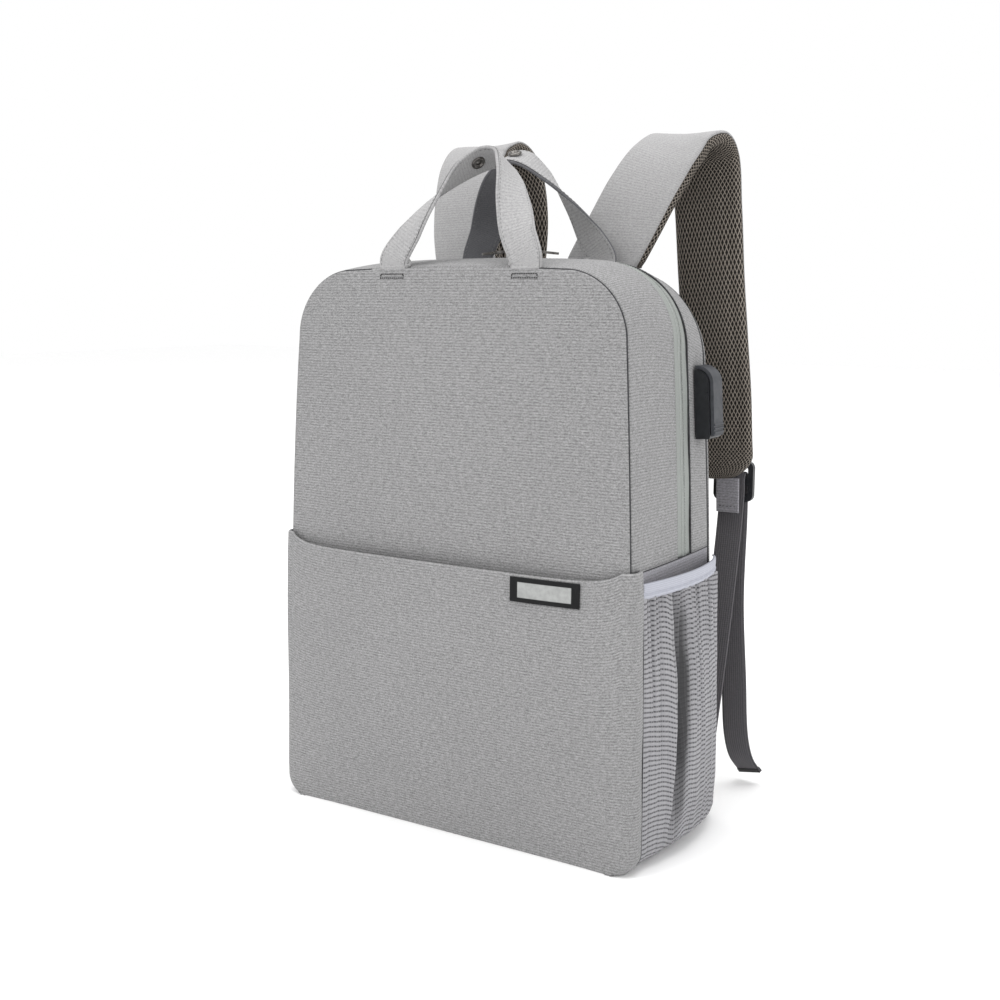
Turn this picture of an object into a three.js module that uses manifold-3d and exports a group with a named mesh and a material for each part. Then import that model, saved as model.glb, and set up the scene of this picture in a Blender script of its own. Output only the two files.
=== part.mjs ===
// A camera backpack that stands on its base, with its front panel towards -Y, its shoulder straps behind it
// and its charging port on the +X side. Millimetres, +Z up. The origin is the centre of the flat base.
//
// The bag is a soft arch-shaped box: a front panel and a back panel joined by a gusset that a zip divides.
// Each piece of cloth is a thin wall between two grids of points. Each strap is a section swept on a curve.
import * as THREE from "three";
import Module from "manifold-3d";
import { mergeVertices } from "three/addons/utils/BufferGeometryUtils.js";

const wasm = await Module();
wasm.setup();

// Bag body
const BASE_HALF_WIDTH_FRONT = 142;
const BASE_HALF_WIDTH_REAR = 141;
const TOP_HALF_WIDTH_FRONT = 131.5;
const TOP_HALF_WIDTH_REAR = 132;
const FRONT_SEAM_HEIGHT = 389;
const REAR_SEAM_HEIGHT = 389;
const TOP_CROWN = 2;
const CREST_RISE = 7;
const FRONT_DEPTH = 66;
const REAR_DEPTH = 62;
const FRONT_LEAN = 6;
const REAR_LEAN = 4;
const BASE_CORNER_RADIUS = 14;
const TOP_CORNER_RADIUS_FRONT = 46;
const TOP_CORNER_RADIUS_REAR = 64;
const GUSSET_BULGE = 2;
const PANEL_WALL = 3;
const BACK_PAD = 8;
const FRONT_CROWN = 4;
const BACK_CROWN = 4;
const SEAM_GAP = 0.3;
const CORNER_GAP = 1;
const SIDE_SEAM_HEIGHT = 199;

// Zip band round the gusset
const ZIP_BAND_START = 3;
const ZIP_BAND_WIDTH = 21;
const ZIP_WALL = 2;

// Slip pocket on the front, with a bare patch at its top edge
const POCKET_HEIGHT = 194;
const POCKET_CORNER_RISE = 7;
const POCKET_BAG = 7.5;
const POCKET_WALL = 2;
const POCKET_WRAP = 11;
const POCKET_CORNER_STANDOFF = 2.4;
const PATCH_WIDTH = 50;
const PATCH_HEIGHT = 16.5;
const PATCH_THICKNESS = 1.4;
const PATCH_FROM_SIDE = 58;
const PATCH_BELOW_EDGE = 9.8;

// Knitted mesh pocket on each side, with an elastic trim along its mouth
const MESH_WALL = 1.6;
const MESH_BULGE = 13;
const MESH_MOUTH_BULGE = 8.5;
const MESH_FOLD_DEPTH = 4.5;
const MESH_GATHER_DEPTH = 1.1;
const MESH_GATHERS = 9;
const TRIM_HEIGHT = 10.5;
const TRIM_WALL = 2.2;
const TRIM_TOP = 192.5;

// Two carrying handles that lean towards each other over the zip
const HANDLE_WIDTH = 24;
const HANDLE_THICKNESS = 3;
const HANDLE_HALF_SPAN = 52.8;
const HANDLE_CENTRE_X = 4;
const HANDLE_RISE = 74;
const HANDLE_REAR_DEPTH = 44;
const HANDLE_APEX_DEPTH = 13;
const SNAP_RADIUS = 5;
const SNAP_HEIGHT = 2;
const SNAP_SEAT = 1;

// Zip sliders, each with a pull that swings on a pin
const SLIDER_LENGTH = 10;
const SLIDER_WIDTH = 8;
const SLIDER_HEIGHT = 3.2;
const SLIDER_MEETING_X = 8;
const PULL_LENGTH = 26;
const PULL_WIDTH = 7;
const PULL_THICKNESS = 1.6;
const PULL_PIN_RADIUS = 0.8;
const PULL_PIN_CLEARANCE = 0.35;
const PULL_EYE_WALL = 1.1;
const PULL_PIN_HEIGHT = 2.6;

// Charging port on the +X side of the rear gusset
const PORT_WIDTH = 18;
const PORT_HEIGHT = 47;
const PORT_PROUD = 10.5;
const PORT_CENTRE_DEPTH = 41;
const PORT_CENTRE_HEIGHT = 300;
const PORT_COVER_WIDTH = 15;
const PORT_COVER_THICKNESS = 2.4;
const PORT_RIB = 0.7;

// Shoulder straps
const STRAP_WIDTH = 57;
const STRAP_PAD = 8.5;
const STRAP_COVER = 1.8;
const STRAP_RISE = 95;
const STRAP_REACH = 61;
const STRAP_DROP = 150;
const STRAP_ROOT_X = 60;
const STRAP_ROOT_LAP = 2.3;
const STRAP_SKIN_GAP = 0.6;

// Webbing, ladder lock and anchors at the straps' lower ends
const WEBBING_WIDTH = 20;
const WEBBING_THICKNESS = 1.6;
const HEM_LENGTH = 9;
const TAIL_REACH = 13;
const TAIL_SHIFT = 14;
const TAIL_END_HEIGHT = 9;
const LOCK_WIDTH = 31;
const LOCK_HEIGHT = 30;
const LOCK_THICKNESS = 4;
const LOCK_BAR = 4.5;
const LOCK_SLOT_WIDTH = 23;
const LOCK_OFFSET = 0.1;
const LOCK_CLEARANCE = 1;
const TAB_WIDTH = 18;
const TAB_LENGTH = 24;
const TAB_THICKNESS = 2.2;
const ANCHOR_HEIGHT = 26;
const ANCHOR_CENTRE_HEIGHT = 34;
const ANCHOR_REACH = 16;
const ANCHOR_THICKNESS = 3;

const lerp = THREE.MathUtils.lerp;
const clamp = THREE.MathUtils.clamp;
const smooth = (x) => THREE.MathUtils.smoothstep(x, 0, 1);
const vec = (x, y, z) => new THREE.Vector3(x, y, z);

// Evenly spaced numbers from a to b, both ends included.
function spread(a, b, steps) {
  return Array.from({ length: steps + 1 }, (_, i) => a + ((b - a) * i) / steps);
}

// Rows of a table, read at any place between 0 and 1 of its first column by a smooth curve through them.
function readTable(rows, column, share) {
  const last = rows.length - 1;
  const found = rows.findIndex((row) => row.at >= share);
  const high = found < 0 ? last : Math.max(found, 1);
  const low = high - 1;
  const t = clamp((share - rows[low].at) / (rows[high].at - rows[low].at), 0, 1);
  const before = rows[Math.max(low - 1, 0)][column];
  const after = rows[Math.min(high + 1, last)][column];
  const p = rows[low][column];
  const q = rows[high][column];
  const slopeIn = (q - before) / 2;
  const slopeOut = (after - p) / 2;
  const t2 = t * t;
  const t3 = t2 * t;
  const ends = (2 * t3 - 3 * t2 + 1) * p + (3 * t2 - 2 * t3) * q;
  return ends + (t3 - 2 * t2 + t) * slopeIn + (t3 - t2) * slopeOut;
}

// A geometry from points and triangles, turned to face outwards.
function closedGeometry(points, triangles) {
  let volume = 0;
  for (const [a, b, c] of triangles) {
    volume += points[a].dot(vec(0, 0, 0).crossVectors(points[b], points[c]));
  }
  const facing = volume < 0 ? triangles.map(([a, b, c]) => [a, c, b]) : triangles;
  const geometry = new THREE.BufferGeometry();
  const positions = points.flatMap((p) => [p.x, p.y, p.z]);
  geometry.setAttribute("position", new THREE.Float32BufferAttribute(positions, 3));
  geometry.setIndex(facing.flat());
  geometry.computeVertexNormals();
  return geometry;
}

// A closed wall between two grids of points that have the same rows and columns.
function wallBetween(outer, inner) {
  const rows = outer.length;
  const columns = outer[0].length;
  const points = [...outer.flat(), ...inner.flat()];
  const far = rows * columns;
  const triangles = [];
  const quad = (a, b, c, d) => triangles.push([a, b, c], [a, c, d]);
  for (let i = 0; i + 1 < rows; i++) {
    for (let j = 0; j + 1 < columns; j++) {
      const a = i * columns + j;
      const b = a + columns;
      quad(a, b, b + 1, a + 1);
      quad(far + a, far + a + 1, far + b + 1, far + b);
    }
  }
  for (let i = 0; i + 1 < rows; i++) {
    const a = i * columns;
    const b = a + columns;
    const end = columns - 1;
    quad(a, far + a, far + b, b);
    quad(a + end, b + end, far + b + end, far + a + end);
  }
  for (let j = 0; j + 1 < columns; j++) {
    const last = (rows - 1) * columns + j;
    quad(j, j + 1, far + j + 1, far + j);
    quad(last, far + last, far + last + 1, last + 1);
  }
  return closedGeometry(points, triangles);
}

// A closed solid lofted through sections that each have the same number of points.
function loft(sections) {
  const count = sections[0].length;
  const points = sections.flat();
  const triangles = [];
  for (let i = 0; i + 1 < sections.length; i++) {
    for (let j = 0; j < count; j++) {
      const a = i * count + j;
      const b = i * count + ((j + 1) % count);
      triangles.push([a, b, b + count], [a, b + count, a + count]);
    }
  }
  const last = (sections.length - 1) * count;
  for (let j = 1; j + 1 < count; j++) {
    triangles.push([0, j + 1, j], [last, last + j, last + j + 1]);
  }
  return closedGeometry(points, triangles);
}

// Height above the base as a share of the body's height at the front seam.
const heightShare = (z) => clamp(z / FRONT_SEAM_HEIGHT, 0, 1);

// Where the front and rear seams stand at a height.
const frontSeamY = (z) => -FRONT_DEPTH + FRONT_LEAN * heightShare(z) ** 3;
const rearSeamY = (z) => REAR_DEPTH - REAR_LEAN * heightShare(z) ** 3;

// Place between the front seam, 0, and the rear seam, 1, of a depth at a height.
const depthShare = (y, z) => (y - frontSeamY(z)) / (rearSeamY(z) - frontSeamY(z));

// Half of the body's outline, seen from the front. Leg 0 is the base, 1 its corner, 2 the side below the
// side seam, 3 the side above it, 4 the top corner and 5 the top. A place on it is the leg plus a share of
// the leg.
const OUTLINE_LEGS = { base: 0, baseCorner: 1, lowerSide: 2, upperSide: 3, topCorner: 4, top: 5, end: 6 };

function halfWidth(z, share) {
  const base = lerp(BASE_HALF_WIDTH_FRONT, BASE_HALF_WIDTH_REAR, share);
  const top = lerp(TOP_HALF_WIDTH_FRONT, TOP_HALF_WIDTH_REAR, share);
  const bulge = GUSSET_BULGE * 4 * share * (1 - share);
  return base - (base - top) * clamp(z / cornerStart(share), 0, 1) ** 2.2 + bulge;
}

function cornerRadius(share) {
  return lerp(TOP_CORNER_RADIUS_FRONT, TOP_CORNER_RADIUS_REAR, share);
}

function seamHeight(share) {
  const crest = CREST_RISE * Math.sin(Math.PI * clamp(share, 0, 1)) ** 0.8;
  return lerp(FRONT_SEAM_HEIGHT, REAR_SEAM_HEIGHT, share) + crest;
}

function cornerStart(share) {
  return seamHeight(share) - cornerRadius(share);
}

function halfOutline(place, share) {
  const leg = Math.min(Math.floor(place), OUTLINE_LEGS.top);
  const t = place - leg;
  const r = BASE_CORNER_RADIUS;
  const low = halfWidth(r, share);
  const corner = cornerRadius(share);
  const top = halfWidth(cornerStart(share), share);
  if (leg === OUTLINE_LEGS.base) return [t * (low - r), 0];
  if (leg === OUTLINE_LEGS.baseCorner) {
    const angle = (t * Math.PI) / 2;
    return [low - r + r * Math.sin(angle), r - r * Math.cos(angle)];
  }
  if (leg === OUTLINE_LEGS.lowerSide) {
    const z = lerp(r, SIDE_SEAM_HEIGHT, t);
    return [halfWidth(z, share), z];
  }
  if (leg === OUTLINE_LEGS.upperSide) {
    const z = lerp(SIDE_SEAM_HEIGHT, cornerStart(share), t);
    return [halfWidth(z, share), z];
  }
  if (leg === OUTLINE_LEGS.topCorner) {
    const angle = (t * Math.PI) / 2;
    return [top - corner + corner * Math.cos(angle), cornerStart(share) + corner * Math.sin(angle)];
  }
  const x = (top - corner) * (1 - t);
  return [x, seamHeight(share) + TOP_CROWN * (1 - (1 - t) ** 2)];
}

// A point of the gusset, on the side that sign gives, moved into the bag by inset.
function gussetPoint(place, sign, y, inset) {
  const [, roughZ] = halfOutline(place, 0.5);
  const share = clamp(depthShare(y, roughZ), 0, 1);
  const step = 0.01;
  const [x0, z0] = halfOutline(Math.max(place - step, 0), share);
  const [x1, z1] = halfOutline(Math.min(place + step, OUTLINE_LEGS.end), share);
  const [x, z] = halfOutline(place, share);
  const length = Math.hypot(x1 - x0, z1 - z0);
  const outX = (z1 - z0) / length;
  const outZ = (x0 - x1) / length;
  return vec(sign * (x - outX * inset), y, z - outZ * inset);
}

// Places along the outline between two legs, with enough steps in each leg for its bend.
const LEG_STEPS = [2, 4, 3, 4, 8, 3];
function placesBetween(first, last) {
  const places = [first];
  for (let leg = Math.floor(first); leg < last; leg++) {
    for (let k = 1; k <= LEG_STEPS[leg]; k++) {
      const place = leg + k / LEG_STEPS[leg];
      if (place > first && place < last) places.push(place);
    }
  }
  return [...places, last];
}

// Depths of the gusset between its front and rear edges at a place, with a gap left to both panels.
function gussetEdges(place) {
  const [, z] = halfOutline(place, 0.5);
  return {
    front: frontSeamY(z) + PANEL_WALL + SEAM_GAP,
    rear: rearSeamY(z) - BACK_PAD - SEAM_GAP,
  };
}

// A strip of the gusset over a list of [place, sign] stations, between two depths that each station gives.
function gussetStrip(stations, depths, wall, columns) {
  const grid = (inset) =>
    stations.map(([place, sign]) => {
      const { from, to } = depths(place);
      return spread(from, to, columns).map((y) => gussetPoint(place, sign, y, inset));
    });
  return wallBetween(grid(0), grid(wall));
}

// Stations of an arch from the side seam on the -X side, over the top, to the side seam on the +X side.
const SEAM_PLACE_GAP = 0.004;
function archStations() {
  const places = placesBetween(OUTLINE_LEGS.upperSide + SEAM_PLACE_GAP, OUTLINE_LEGS.end);
  const right = places.map((place) => [place, 1]);
  const left = places.slice(0, -1).map((place) => [place, -1]);
  return [...left, ...right.reverse()];
}

// Stations across the base, its corners included.
function baseStations() {
  const places = placesBetween(0, OUTLINE_LEGS.lowerSide - SEAM_PLACE_GAP * 3);
  const right = places.map((place) => [place, 1]);
  const left = places.slice(1).map((place) => [place, -1]);
  return [...left.reverse(), ...right];
}

// How far a panel's face stands out from its rim, as a share of its crown, at a point.
function crownShare(x, z, share) {
  const across = clamp(Math.abs(x) / halfWidth(z, share), 0, 1);
  const up = clamp(Math.abs(z / seamHeight(share) - 0.5) * 2, 0, 1);
  return (1 - across ** 4) * (1 - up ** 4);
}

// The outer faces of the front and back panels.
const frontFaceY = (x, z) => frontSeamY(z) - FRONT_CROWN * crownShare(x, z, 0);
const backFaceY = (x, z) => rearSeamY(z) + BACK_CROWN * crownShare(x, z, 1);

// A panel that fills the outline at the front, share 0, or at the rear, share 1.
const PANEL_RINGS = [0.6, 0.88, 1];
function panelGeometry(share, faceY, thickness) {
  const places = placesBetween(0, OUTLINE_LEGS.end);
  const right = places.map((place) => halfOutline(place, share));
  const left = right.slice(1, -1).map(([x, z]) => [-x, z]);
  const rim = [...right, ...left.reverse()];
  const middle = seamHeight(share) / 2;
  const points = [];
  const triangles = [];
  for (const inset of [0, thickness]) {
    const start = points.length;
    points.push(vec(0, faceY(0, middle) + inset, middle));
    for (const ring of PANEL_RINGS) {
      for (const [x, z] of rim) {
        const px = x * ring;
        const pz = middle + (z - middle) * ring;
        points.push(vec(px, faceY(px, pz) + inset, pz));
      }
    }
    const turn = inset ? (t) => [t[0], t[2], t[1]] : (t) => t;
    for (let j = 0; j < rim.length; j++) {
      const next = (j + 1) % rim.length;
      triangles.push(turn([start, start + 1 + j, start + 1 + next]));
      for (let k = 0; k + 1 < PANEL_RINGS.length; k++) {
        const a = start + 1 + k * rim.length;
        const b = a + rim.length;
        triangles.push(turn([a + j, b + j, b + next]), turn([a + j, b + next, a + next]));
      }
    }
  }
  const layer = 1 + PANEL_RINGS.length * rim.length;
  const edge = 1 + (PANEL_RINGS.length - 1) * rim.length;
  for (let j = 0; j < rim.length; j++) {
    const a = edge + j;
    const b = edge + ((j + 1) % rim.length);
    triangles.push([a, layer + a, layer + b], [a, layer + b, b]);
  }
  return closedGeometry(points, triangles);
}

// How far the body's side lies inside its half width at a height, where its base corner turns under.
function cornerTuck(z) {
  const below = 1 - clamp(z / BASE_CORNER_RADIUS, 0, 1);
  return BASE_CORNER_RADIUS * (1 - Math.sqrt(Math.max(0, 1 - below ** 2)));
}

// The front pocket's face: how high it reaches and how far it stands off the panel behind it.
function pocketTop(x) {
  return POCKET_HEIGHT + POCKET_CORNER_RISE * clamp(Math.abs(x) / BASE_HALF_WIDTH_FRONT, 0, 1) ** 14;
}

function pocketBag(x, z) {
  const up = clamp(z / POCKET_HEIGHT, 0, 1);
  const across = clamp(Math.abs(x) / BASE_HALF_WIDTH_FRONT, 0, 1);
  return SEAM_GAP + POCKET_BAG * smooth(up * 1.25) * (1 - 0.75 * across ** 3);
}

// A point of the front pocket: along is -1 to 1 from one end of its cloth to the other, up is 0 to 1.
const POCKET_FRONT_SHARE = 0.86;
const POCKET_CORNER_SHARE = 0.95;
const POCKET_TURN = 4;
function pocketPoint(along, up, depth) {
  const sign = Math.sign(along) || 1;
  const reach = Math.abs(along);
  const shareOut = clamp(reach / POCKET_FRONT_SHARE, 0, 1);
  const roughX = shareOut * BASE_HALF_WIDTH_FRONT;
  const z = SEAM_GAP + (pocketTop(roughX) - SEAM_GAP) * up;
  const a = halfWidth(z, 0);
  const flat = a - POCKET_TURN;
  const turnY = frontSeamY(z) + POCKET_TURN;
  const low = cornerTuck(z);
  const standoff = POCKET_CORNER_STANDOFF + depth;
  if (reach <= POCKET_FRONT_SHARE) {
    const x = shareOut * flat;
    const near = frontFaceY(x, z) - pocketBag(x, z);
    const corner = frontSeamY(z) - POCKET_CORNER_STANDOFF;
    const blend = shareOut ** 6;
    const y = lerp(near, Math.min(near, corner), blend) - depth;
    return vec(sign * Math.min(x, flat - low * shareOut), y, z);
  }
  if (reach <= POCKET_CORNER_SHARE) {
    const angle = (((reach - POCKET_FRONT_SHARE) / (POCKET_CORNER_SHARE - POCKET_FRONT_SHARE)) * Math.PI) / 2;
    const radius = POCKET_TURN + standoff;
    const swell = halfWidth(z, clamp(depthShare(turnY, z), 0, 1)) - a;
    const x = flat - low + (radius + swell) * Math.sin(angle);
    return vec(sign * x, turnY - radius * Math.cos(angle), z);
  }
  const t = (reach - POCKET_CORNER_SHARE) / (1 - POCKET_CORNER_SHARE);
  const close = lerp(standoff, CORNER_GAP + depth, smooth(t));
  const y = lerp(turnY, frontSeamY(z) + POCKET_WRAP, t);
  return vec(sign * (halfWidth(z, clamp(depthShare(y, z), 0, 1)) - low + close), y, z);
}

const POCKET_STATIONS = [0, 0.2, 0.4, 0.56, 0.7, 0.79, 0.86, 0.89, 0.92, 0.95, 0.975, 1];
const POCKET_LEVELS = [0, 0.012, 0.03, 0.06, 0.16, 0.36, 0.58, 0.8, 1];
function frontPocketGeometry() {
  const alongs = [...POCKET_STATIONS.slice(1).map((s) => -s).reverse(), ...POCKET_STATIONS];
  const grid = (depth) => alongs.map((along) => POCKET_LEVELS.map((up) => pocketPoint(along, up, depth)));
  return wallBetween(grid(POCKET_WALL), grid(0));
}

// A plain patch that lies on the front pocket's face.
function patchGeometry() {
  const centre = BASE_HALF_WIDTH_FRONT - PATCH_FROM_SIDE;
  const xs = spread(centre - PATCH_WIDTH / 2, centre + PATCH_WIDTH / 2, 6);
  const top = POCKET_HEIGHT - PATCH_BELOW_EDGE + PATCH_HEIGHT / 2;
  const zs = spread(top - PATCH_HEIGHT, top, 2);
  const face = (x, z) => {
    const flat = halfWidth(z, 0) - POCKET_TURN;
    return pocketPoint((x / flat) * POCKET_FRONT_SHARE, z / pocketTop(x), POCKET_WALL).y;
  };
  const grid = (lift) => xs.map((x) => zs.map((z) => vec(x, face(x, z) - lift, z)));
  return wallBetween(grid(SEAM_GAP + PATCH_THICKNESS), grid(SEAM_GAP));
}

// How far the mesh pocket stands off the bag's side: rows run up its height, from its base to its mouth.
const MESH_LEVELS = [
  { at: 0, bulge: 0.2, gather: 0, fold: 0 },
  { at: 0.08, bulge: 0.8, gather: 0, fold: 0.15 },
  { at: 0.22, bulge: 1, gather: 0.05, fold: 0.6 },
  { at: 0.45, bulge: 1, gather: 0.15, fold: 1 },
  { at: 0.65, bulge: 0.9, gather: 0.35, fold: 1 },
  { at: 0.85, bulge: 0.7, gather: 0.8, fold: 0.75 },
  { at: 1, bulge: 0.6, gather: 1, fold: 0.25 },
];
const MESH_FOLD_AT = 0.36;
const MESH_FOLD_WIDTH = 0.045;
const MESH_END_FADE = 14;

// The side bulge of a pocket from its front seam, 0, to its rear seam, 1; fuller towards the rear.
const sideSwell = (along) => Math.sin(Math.PI * along ** 1.25) ** 0.62;

function meshStandoff(along, up) {
  const swell = MESH_BULGE * readTable(MESH_LEVELS, "bulge", up) * sideSwell(along);
  const ends = Math.min(1, MESH_END_FADE * along * (1 - along));
  const wave = Math.cos(2 * Math.PI * MESH_GATHERS * along) * 0.5 - 0.5;
  const gather = MESH_GATHER_DEPTH * readTable(MESH_LEVELS, "gather", up) * wave * ends;
  const dent = Math.exp(-(((along - MESH_FOLD_AT - 0.05 * up) / MESH_FOLD_WIDTH) ** 2));
  const fold = MESH_FOLD_DEPTH * readTable(MESH_LEVELS, "fold", up) * dent;
  return Math.max(swell + gather - fold, 0);
}

function trimStandoff(along) {
  return MESH_MOUTH_BULGE * sideSwell(along);
}

// A point beside the bag, on the side that sign gives, off its gusset by standoff.
function besideBag(sign, along, z, standoff) {
  const from = frontSeamY(z) + POCKET_WRAP + 2 * SEAM_GAP;
  const to = rearSeamY(z) - 2 * SEAM_GAP;
  const y = lerp(from, to, along);
  const low = cornerTuck(z);
  return vec(sign * (halfWidth(z, clamp(depthShare(y, z), 0, 1)) - low + CORNER_GAP + standoff), y, z);
}

const MESH_ROWS = [0, 0.02, 0.05, 0.1, 0.2, 0.34, 0.5, 0.68, 0.86, 1];
function meshPocketGeometry(sign) {
  const alongs = spread(0, 1, MESH_GATHERS * 3);
  const top = TRIM_TOP - TRIM_HEIGHT - SEAM_GAP;
  const height = (up) => lerp(SEAM_GAP, top, up);
  const place = (along, up, wall) => besideBag(sign, along, height(up), meshStandoff(along, up) + wall);
  const grid = (wall) => MESH_ROWS.map((up) => alongs.map((along) => place(along, up, wall)));
  return wallBetween(grid(MESH_WALL), grid(0));
}

function trimGeometry(sign) {
  const alongs = spread(0, 1, 18);
  const levels = [TRIM_TOP - TRIM_HEIGHT, TRIM_TOP];
  const grid = (wall) =>
    levels.map((z) => alongs.map((along) => besideBag(sign, along, z, trimStandoff(along) + wall)));
  return wallBetween(grid(TRIM_WALL), grid(0));
}

// A curve that a strap follows, with the direction of the strap's width at each place. Where level is 1 the
// strap is cut along that direction, as at a seam, and where it is 0 it is cut square to the curve.
class Ribbon {
  constructor(centres, widths, levels = widths.map(() => 0)) {
    this.curve = new THREE.CatmullRomCurve3(centres, false, "centripetal");
    this.widths = widths;
    this.levels = levels;
  }

  // The centre, width direction and face direction at a share of the curve's points.
  frame(share) {
    const centre = this.curve.getPoint(share);
    const tangent = this.curve.getTangent(share);
    const at = share * (this.widths.length - 1);
    const low = Math.min(Math.floor(at), this.widths.length - 2);
    const width = this.widths[low].clone().lerp(this.widths[low + 1], at - low);
    const level = lerp(this.levels[low], this.levels[low + 1], at - low);
    const slant = width.dot(tangent);
    width.addScaledVector(tangent, -slant * (1 - level)).normalize();
    const face = vec(0, 0, 0).crossVectors(width, tangent).normalize();
    const stretch = 1 / Math.sqrt(1 - (slant * level) ** 2);
    return { centre, width: width.multiplyScalar(stretch), face, tangent };
  }

  // A solid whose section, a list of [across, out] in millimetres, may change along the ribbon.
  sweep(section, shares) {
    return loft(
      shares.map((share) => {
        const { centre, width, face } = this.frame(share);
        return section(share).map(([across, out]) =>
          centre.clone().addScaledVector(width, across).addScaledVector(face, out),
        );
      }),
    );
  }
}

// A flat section with its edges rounded by two chamfers, between two heights on the face's side.
function flatSection(width, low, high) {
  const half = width / 2;
  const soft = Math.min((high - low) / 2, half) * 0.7;
  return [
    [-half + soft, low],
    [half - soft, low],
    [half, (low + high) / 2],
    [half - soft, high],
    [-half + soft, high],
    [-half, (low + high) / 2],
  ];
}

// The height of the bag's top under a point.
function topHeight(x, y) {
  const share = clamp(depthShare(y, FRONT_SEAM_HEIGHT), 0, 1);
  const flat = halfWidth(cornerStart(share), share) - cornerRadius(share);
  return halfOutline(OUTLINE_LEGS.end - clamp(Math.abs(x) / flat, 0, 1), share)[1];
}

// Handle stations from one foot to the other: shares of the half span, the rise and the way to the apex, and
// how far the ribbon has turned from lying flat against the seam to lying across the handle.
const HANDLE_STATIONS = [
  { at: 0, span: -1, rise: 0, lean: 0, turn: 0 },
  { at: 0.05, span: -0.995, rise: 0.06, lean: 0, turn: 0.01 },
  { at: 0.15, span: -0.81, rise: 0.3, lean: 0.1, turn: 0.1 },
  { at: 0.27, span: -0.6, rise: 0.6, lean: 0.38, turn: 0.38 },
  { at: 0.38, span: -0.37, rise: 0.87, lean: 0.74, turn: 0.78 },
  { at: 0.48, span: -0.12, rise: 0.99, lean: 0.97, turn: 0.98 },
  { at: 0.56, span: 0.12, rise: 0.98, lean: 0.97, turn: 1.02 },
  { at: 0.66, span: 0.38, rise: 0.82, lean: 0.72, turn: 1.25 },
  { at: 0.78, span: 0.64, rise: 0.54, lean: 0.34, turn: 1.62 },
  { at: 0.88, span: 0.84, rise: 0.27, lean: 0.08, turn: 1.9 },
  { at: 0.95, span: 0.995, rise: 0.06, lean: 0, turn: 1.99 },
  { at: 1, span: 1, rise: 0, lean: 0, turn: 2 },
];

// A carrying handle. Its feet stand at footY, and toFront is 1 where its outer face looks to -Y at the feet.
function handleRibbon(footY, apexY, toFront) {
  const inner = HANDLE_HALF_SPAN - HANDLE_WIDTH / 2;
  const edges = [footY - HANDLE_THICKNESS / 2, footY + HANDLE_THICKNESS / 2];
  const footZ = Math.max(...edges.map((y) => topHeight(inner, y))) + 2 * SEAM_GAP;
  const lean = Math.atan2(Math.abs(apexY - footY), HANDLE_RISE);
  const across = vec(0, -Math.cos(lean), toFront * Math.sin(lean));
  const shares = spread(0, 1, HANDLE_STATIONS.length - 1);
  const read = (column) => shares.map((_, i) => HANDLE_STATIONS[i][column]);
  const centres = read("span").map((span, i) =>
    vec(
      HANDLE_CENTRE_X + span * HANDLE_HALF_SPAN,
      lerp(footY, apexY, HANDLE_STATIONS[i].lean),
      footZ + HANDLE_STATIONS[i].rise * HANDLE_RISE,
    ),
  );
  const widths = read("turn").map((turn) => {
    const angle = (turn * Math.PI) / 2;
    return vec(toFront * Math.cos(angle), 0, 0).addScaledVector(across, Math.sin(angle));
  });
  return new Ribbon(centres, widths);
}

function handleGeometry(ribbon) {
  const half = HANDLE_THICKNESS / 2;
  return ribbon.sweep(() => flatSection(HANDLE_WIDTH, -half, half), spread(0, 1, 30));
}

// A snap button that sits on one face of a handle: side is 1 for the outer face and -1 for the lining.
function placeSnap(ribbon, share, side, toFront) {
  const profile = [
    [0, 0],
    [SNAP_RADIUS, 0],
    [SNAP_RADIUS, SNAP_HEIGHT * 0.4],
    [SNAP_RADIUS * 0.8, SNAP_HEIGHT * 0.8],
    [SNAP_RADIUS * 0.45, SNAP_HEIGHT],
    [0, SNAP_HEIGHT],
  ].map(([r, h]) => new THREE.Vector2(r, h));
  const mesh = new THREE.Mesh(new THREE.LatheGeometry(profile, 16));
  const { centre, face } = ribbon.frame(share);
  const out = face.clone().multiplyScalar(side * -toFront * toFront);
  mesh.position.copy(centre).addScaledVector(out, HANDLE_THICKNESS / 2 + SNAP_SEAT);
  mesh.quaternion.setFromUnitVectors(vec(0, 1, 0), out);
  return mesh;
}

// A geometry as a manifold-3d solid, for joining and cutting.
function solid(geometry) {
  const bare = geometry.clone();
  bare.deleteAttribute("normal");
  bare.deleteAttribute("uv");
  const merged = mergeVertices(bare, 1e-4);
  return new wasm.Manifold(
    new wasm.Mesh({
      numProp: 3,
      vertProperties: new Float32Array(merged.attributes.position.array),
      triVerts: new Uint32Array(merged.index.array),
    }),
  );
}

function fromSolid(manifold) {
  const mesh = manifold.getMesh();
  const geometry = new THREE.BufferGeometry();
  const positions = [];
  for (let i = 0; i < mesh.numVert; i++) {
    positions.push(...mesh.vertProperties.subarray(i * mesh.numProp, i * mesh.numProp + 3));
  }
  geometry.setAttribute("position", new THREE.Float32BufferAttribute(positions, 3));
  geometry.setIndex([...mesh.triVerts]);
  geometry.computeVertexNormals();
  return geometry;
}

// The outline of a rounded rectangle about the origin, as a shape or as a hole.
function roundedRectangle(path, width, height, radius) {
  const w = width / 2;
  const h = height / 2;
  path.moveTo(-w + radius, -h);
  path.lineTo(w - radius, -h);
  path.absarc(w - radius, -h + radius, radius, -Math.PI / 2, 0);
  path.lineTo(w, h - radius);
  path.absarc(w - radius, h - radius, radius, 0, Math.PI / 2);
  path.lineTo(-w + radius, h);
  path.absarc(-w + radius, h - radius, radius, Math.PI / 2, Math.PI);
  path.lineTo(-w, -h + radius);
  path.absarc(-w + radius, -h + radius, radius, Math.PI, 1.5 * Math.PI);
  return path;
}

function extruded(shape, depth, segments) {
  return new THREE.ExtrudeGeometry(shape, { depth, bevelEnabled: false, curveSegments: segments });
}

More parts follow.
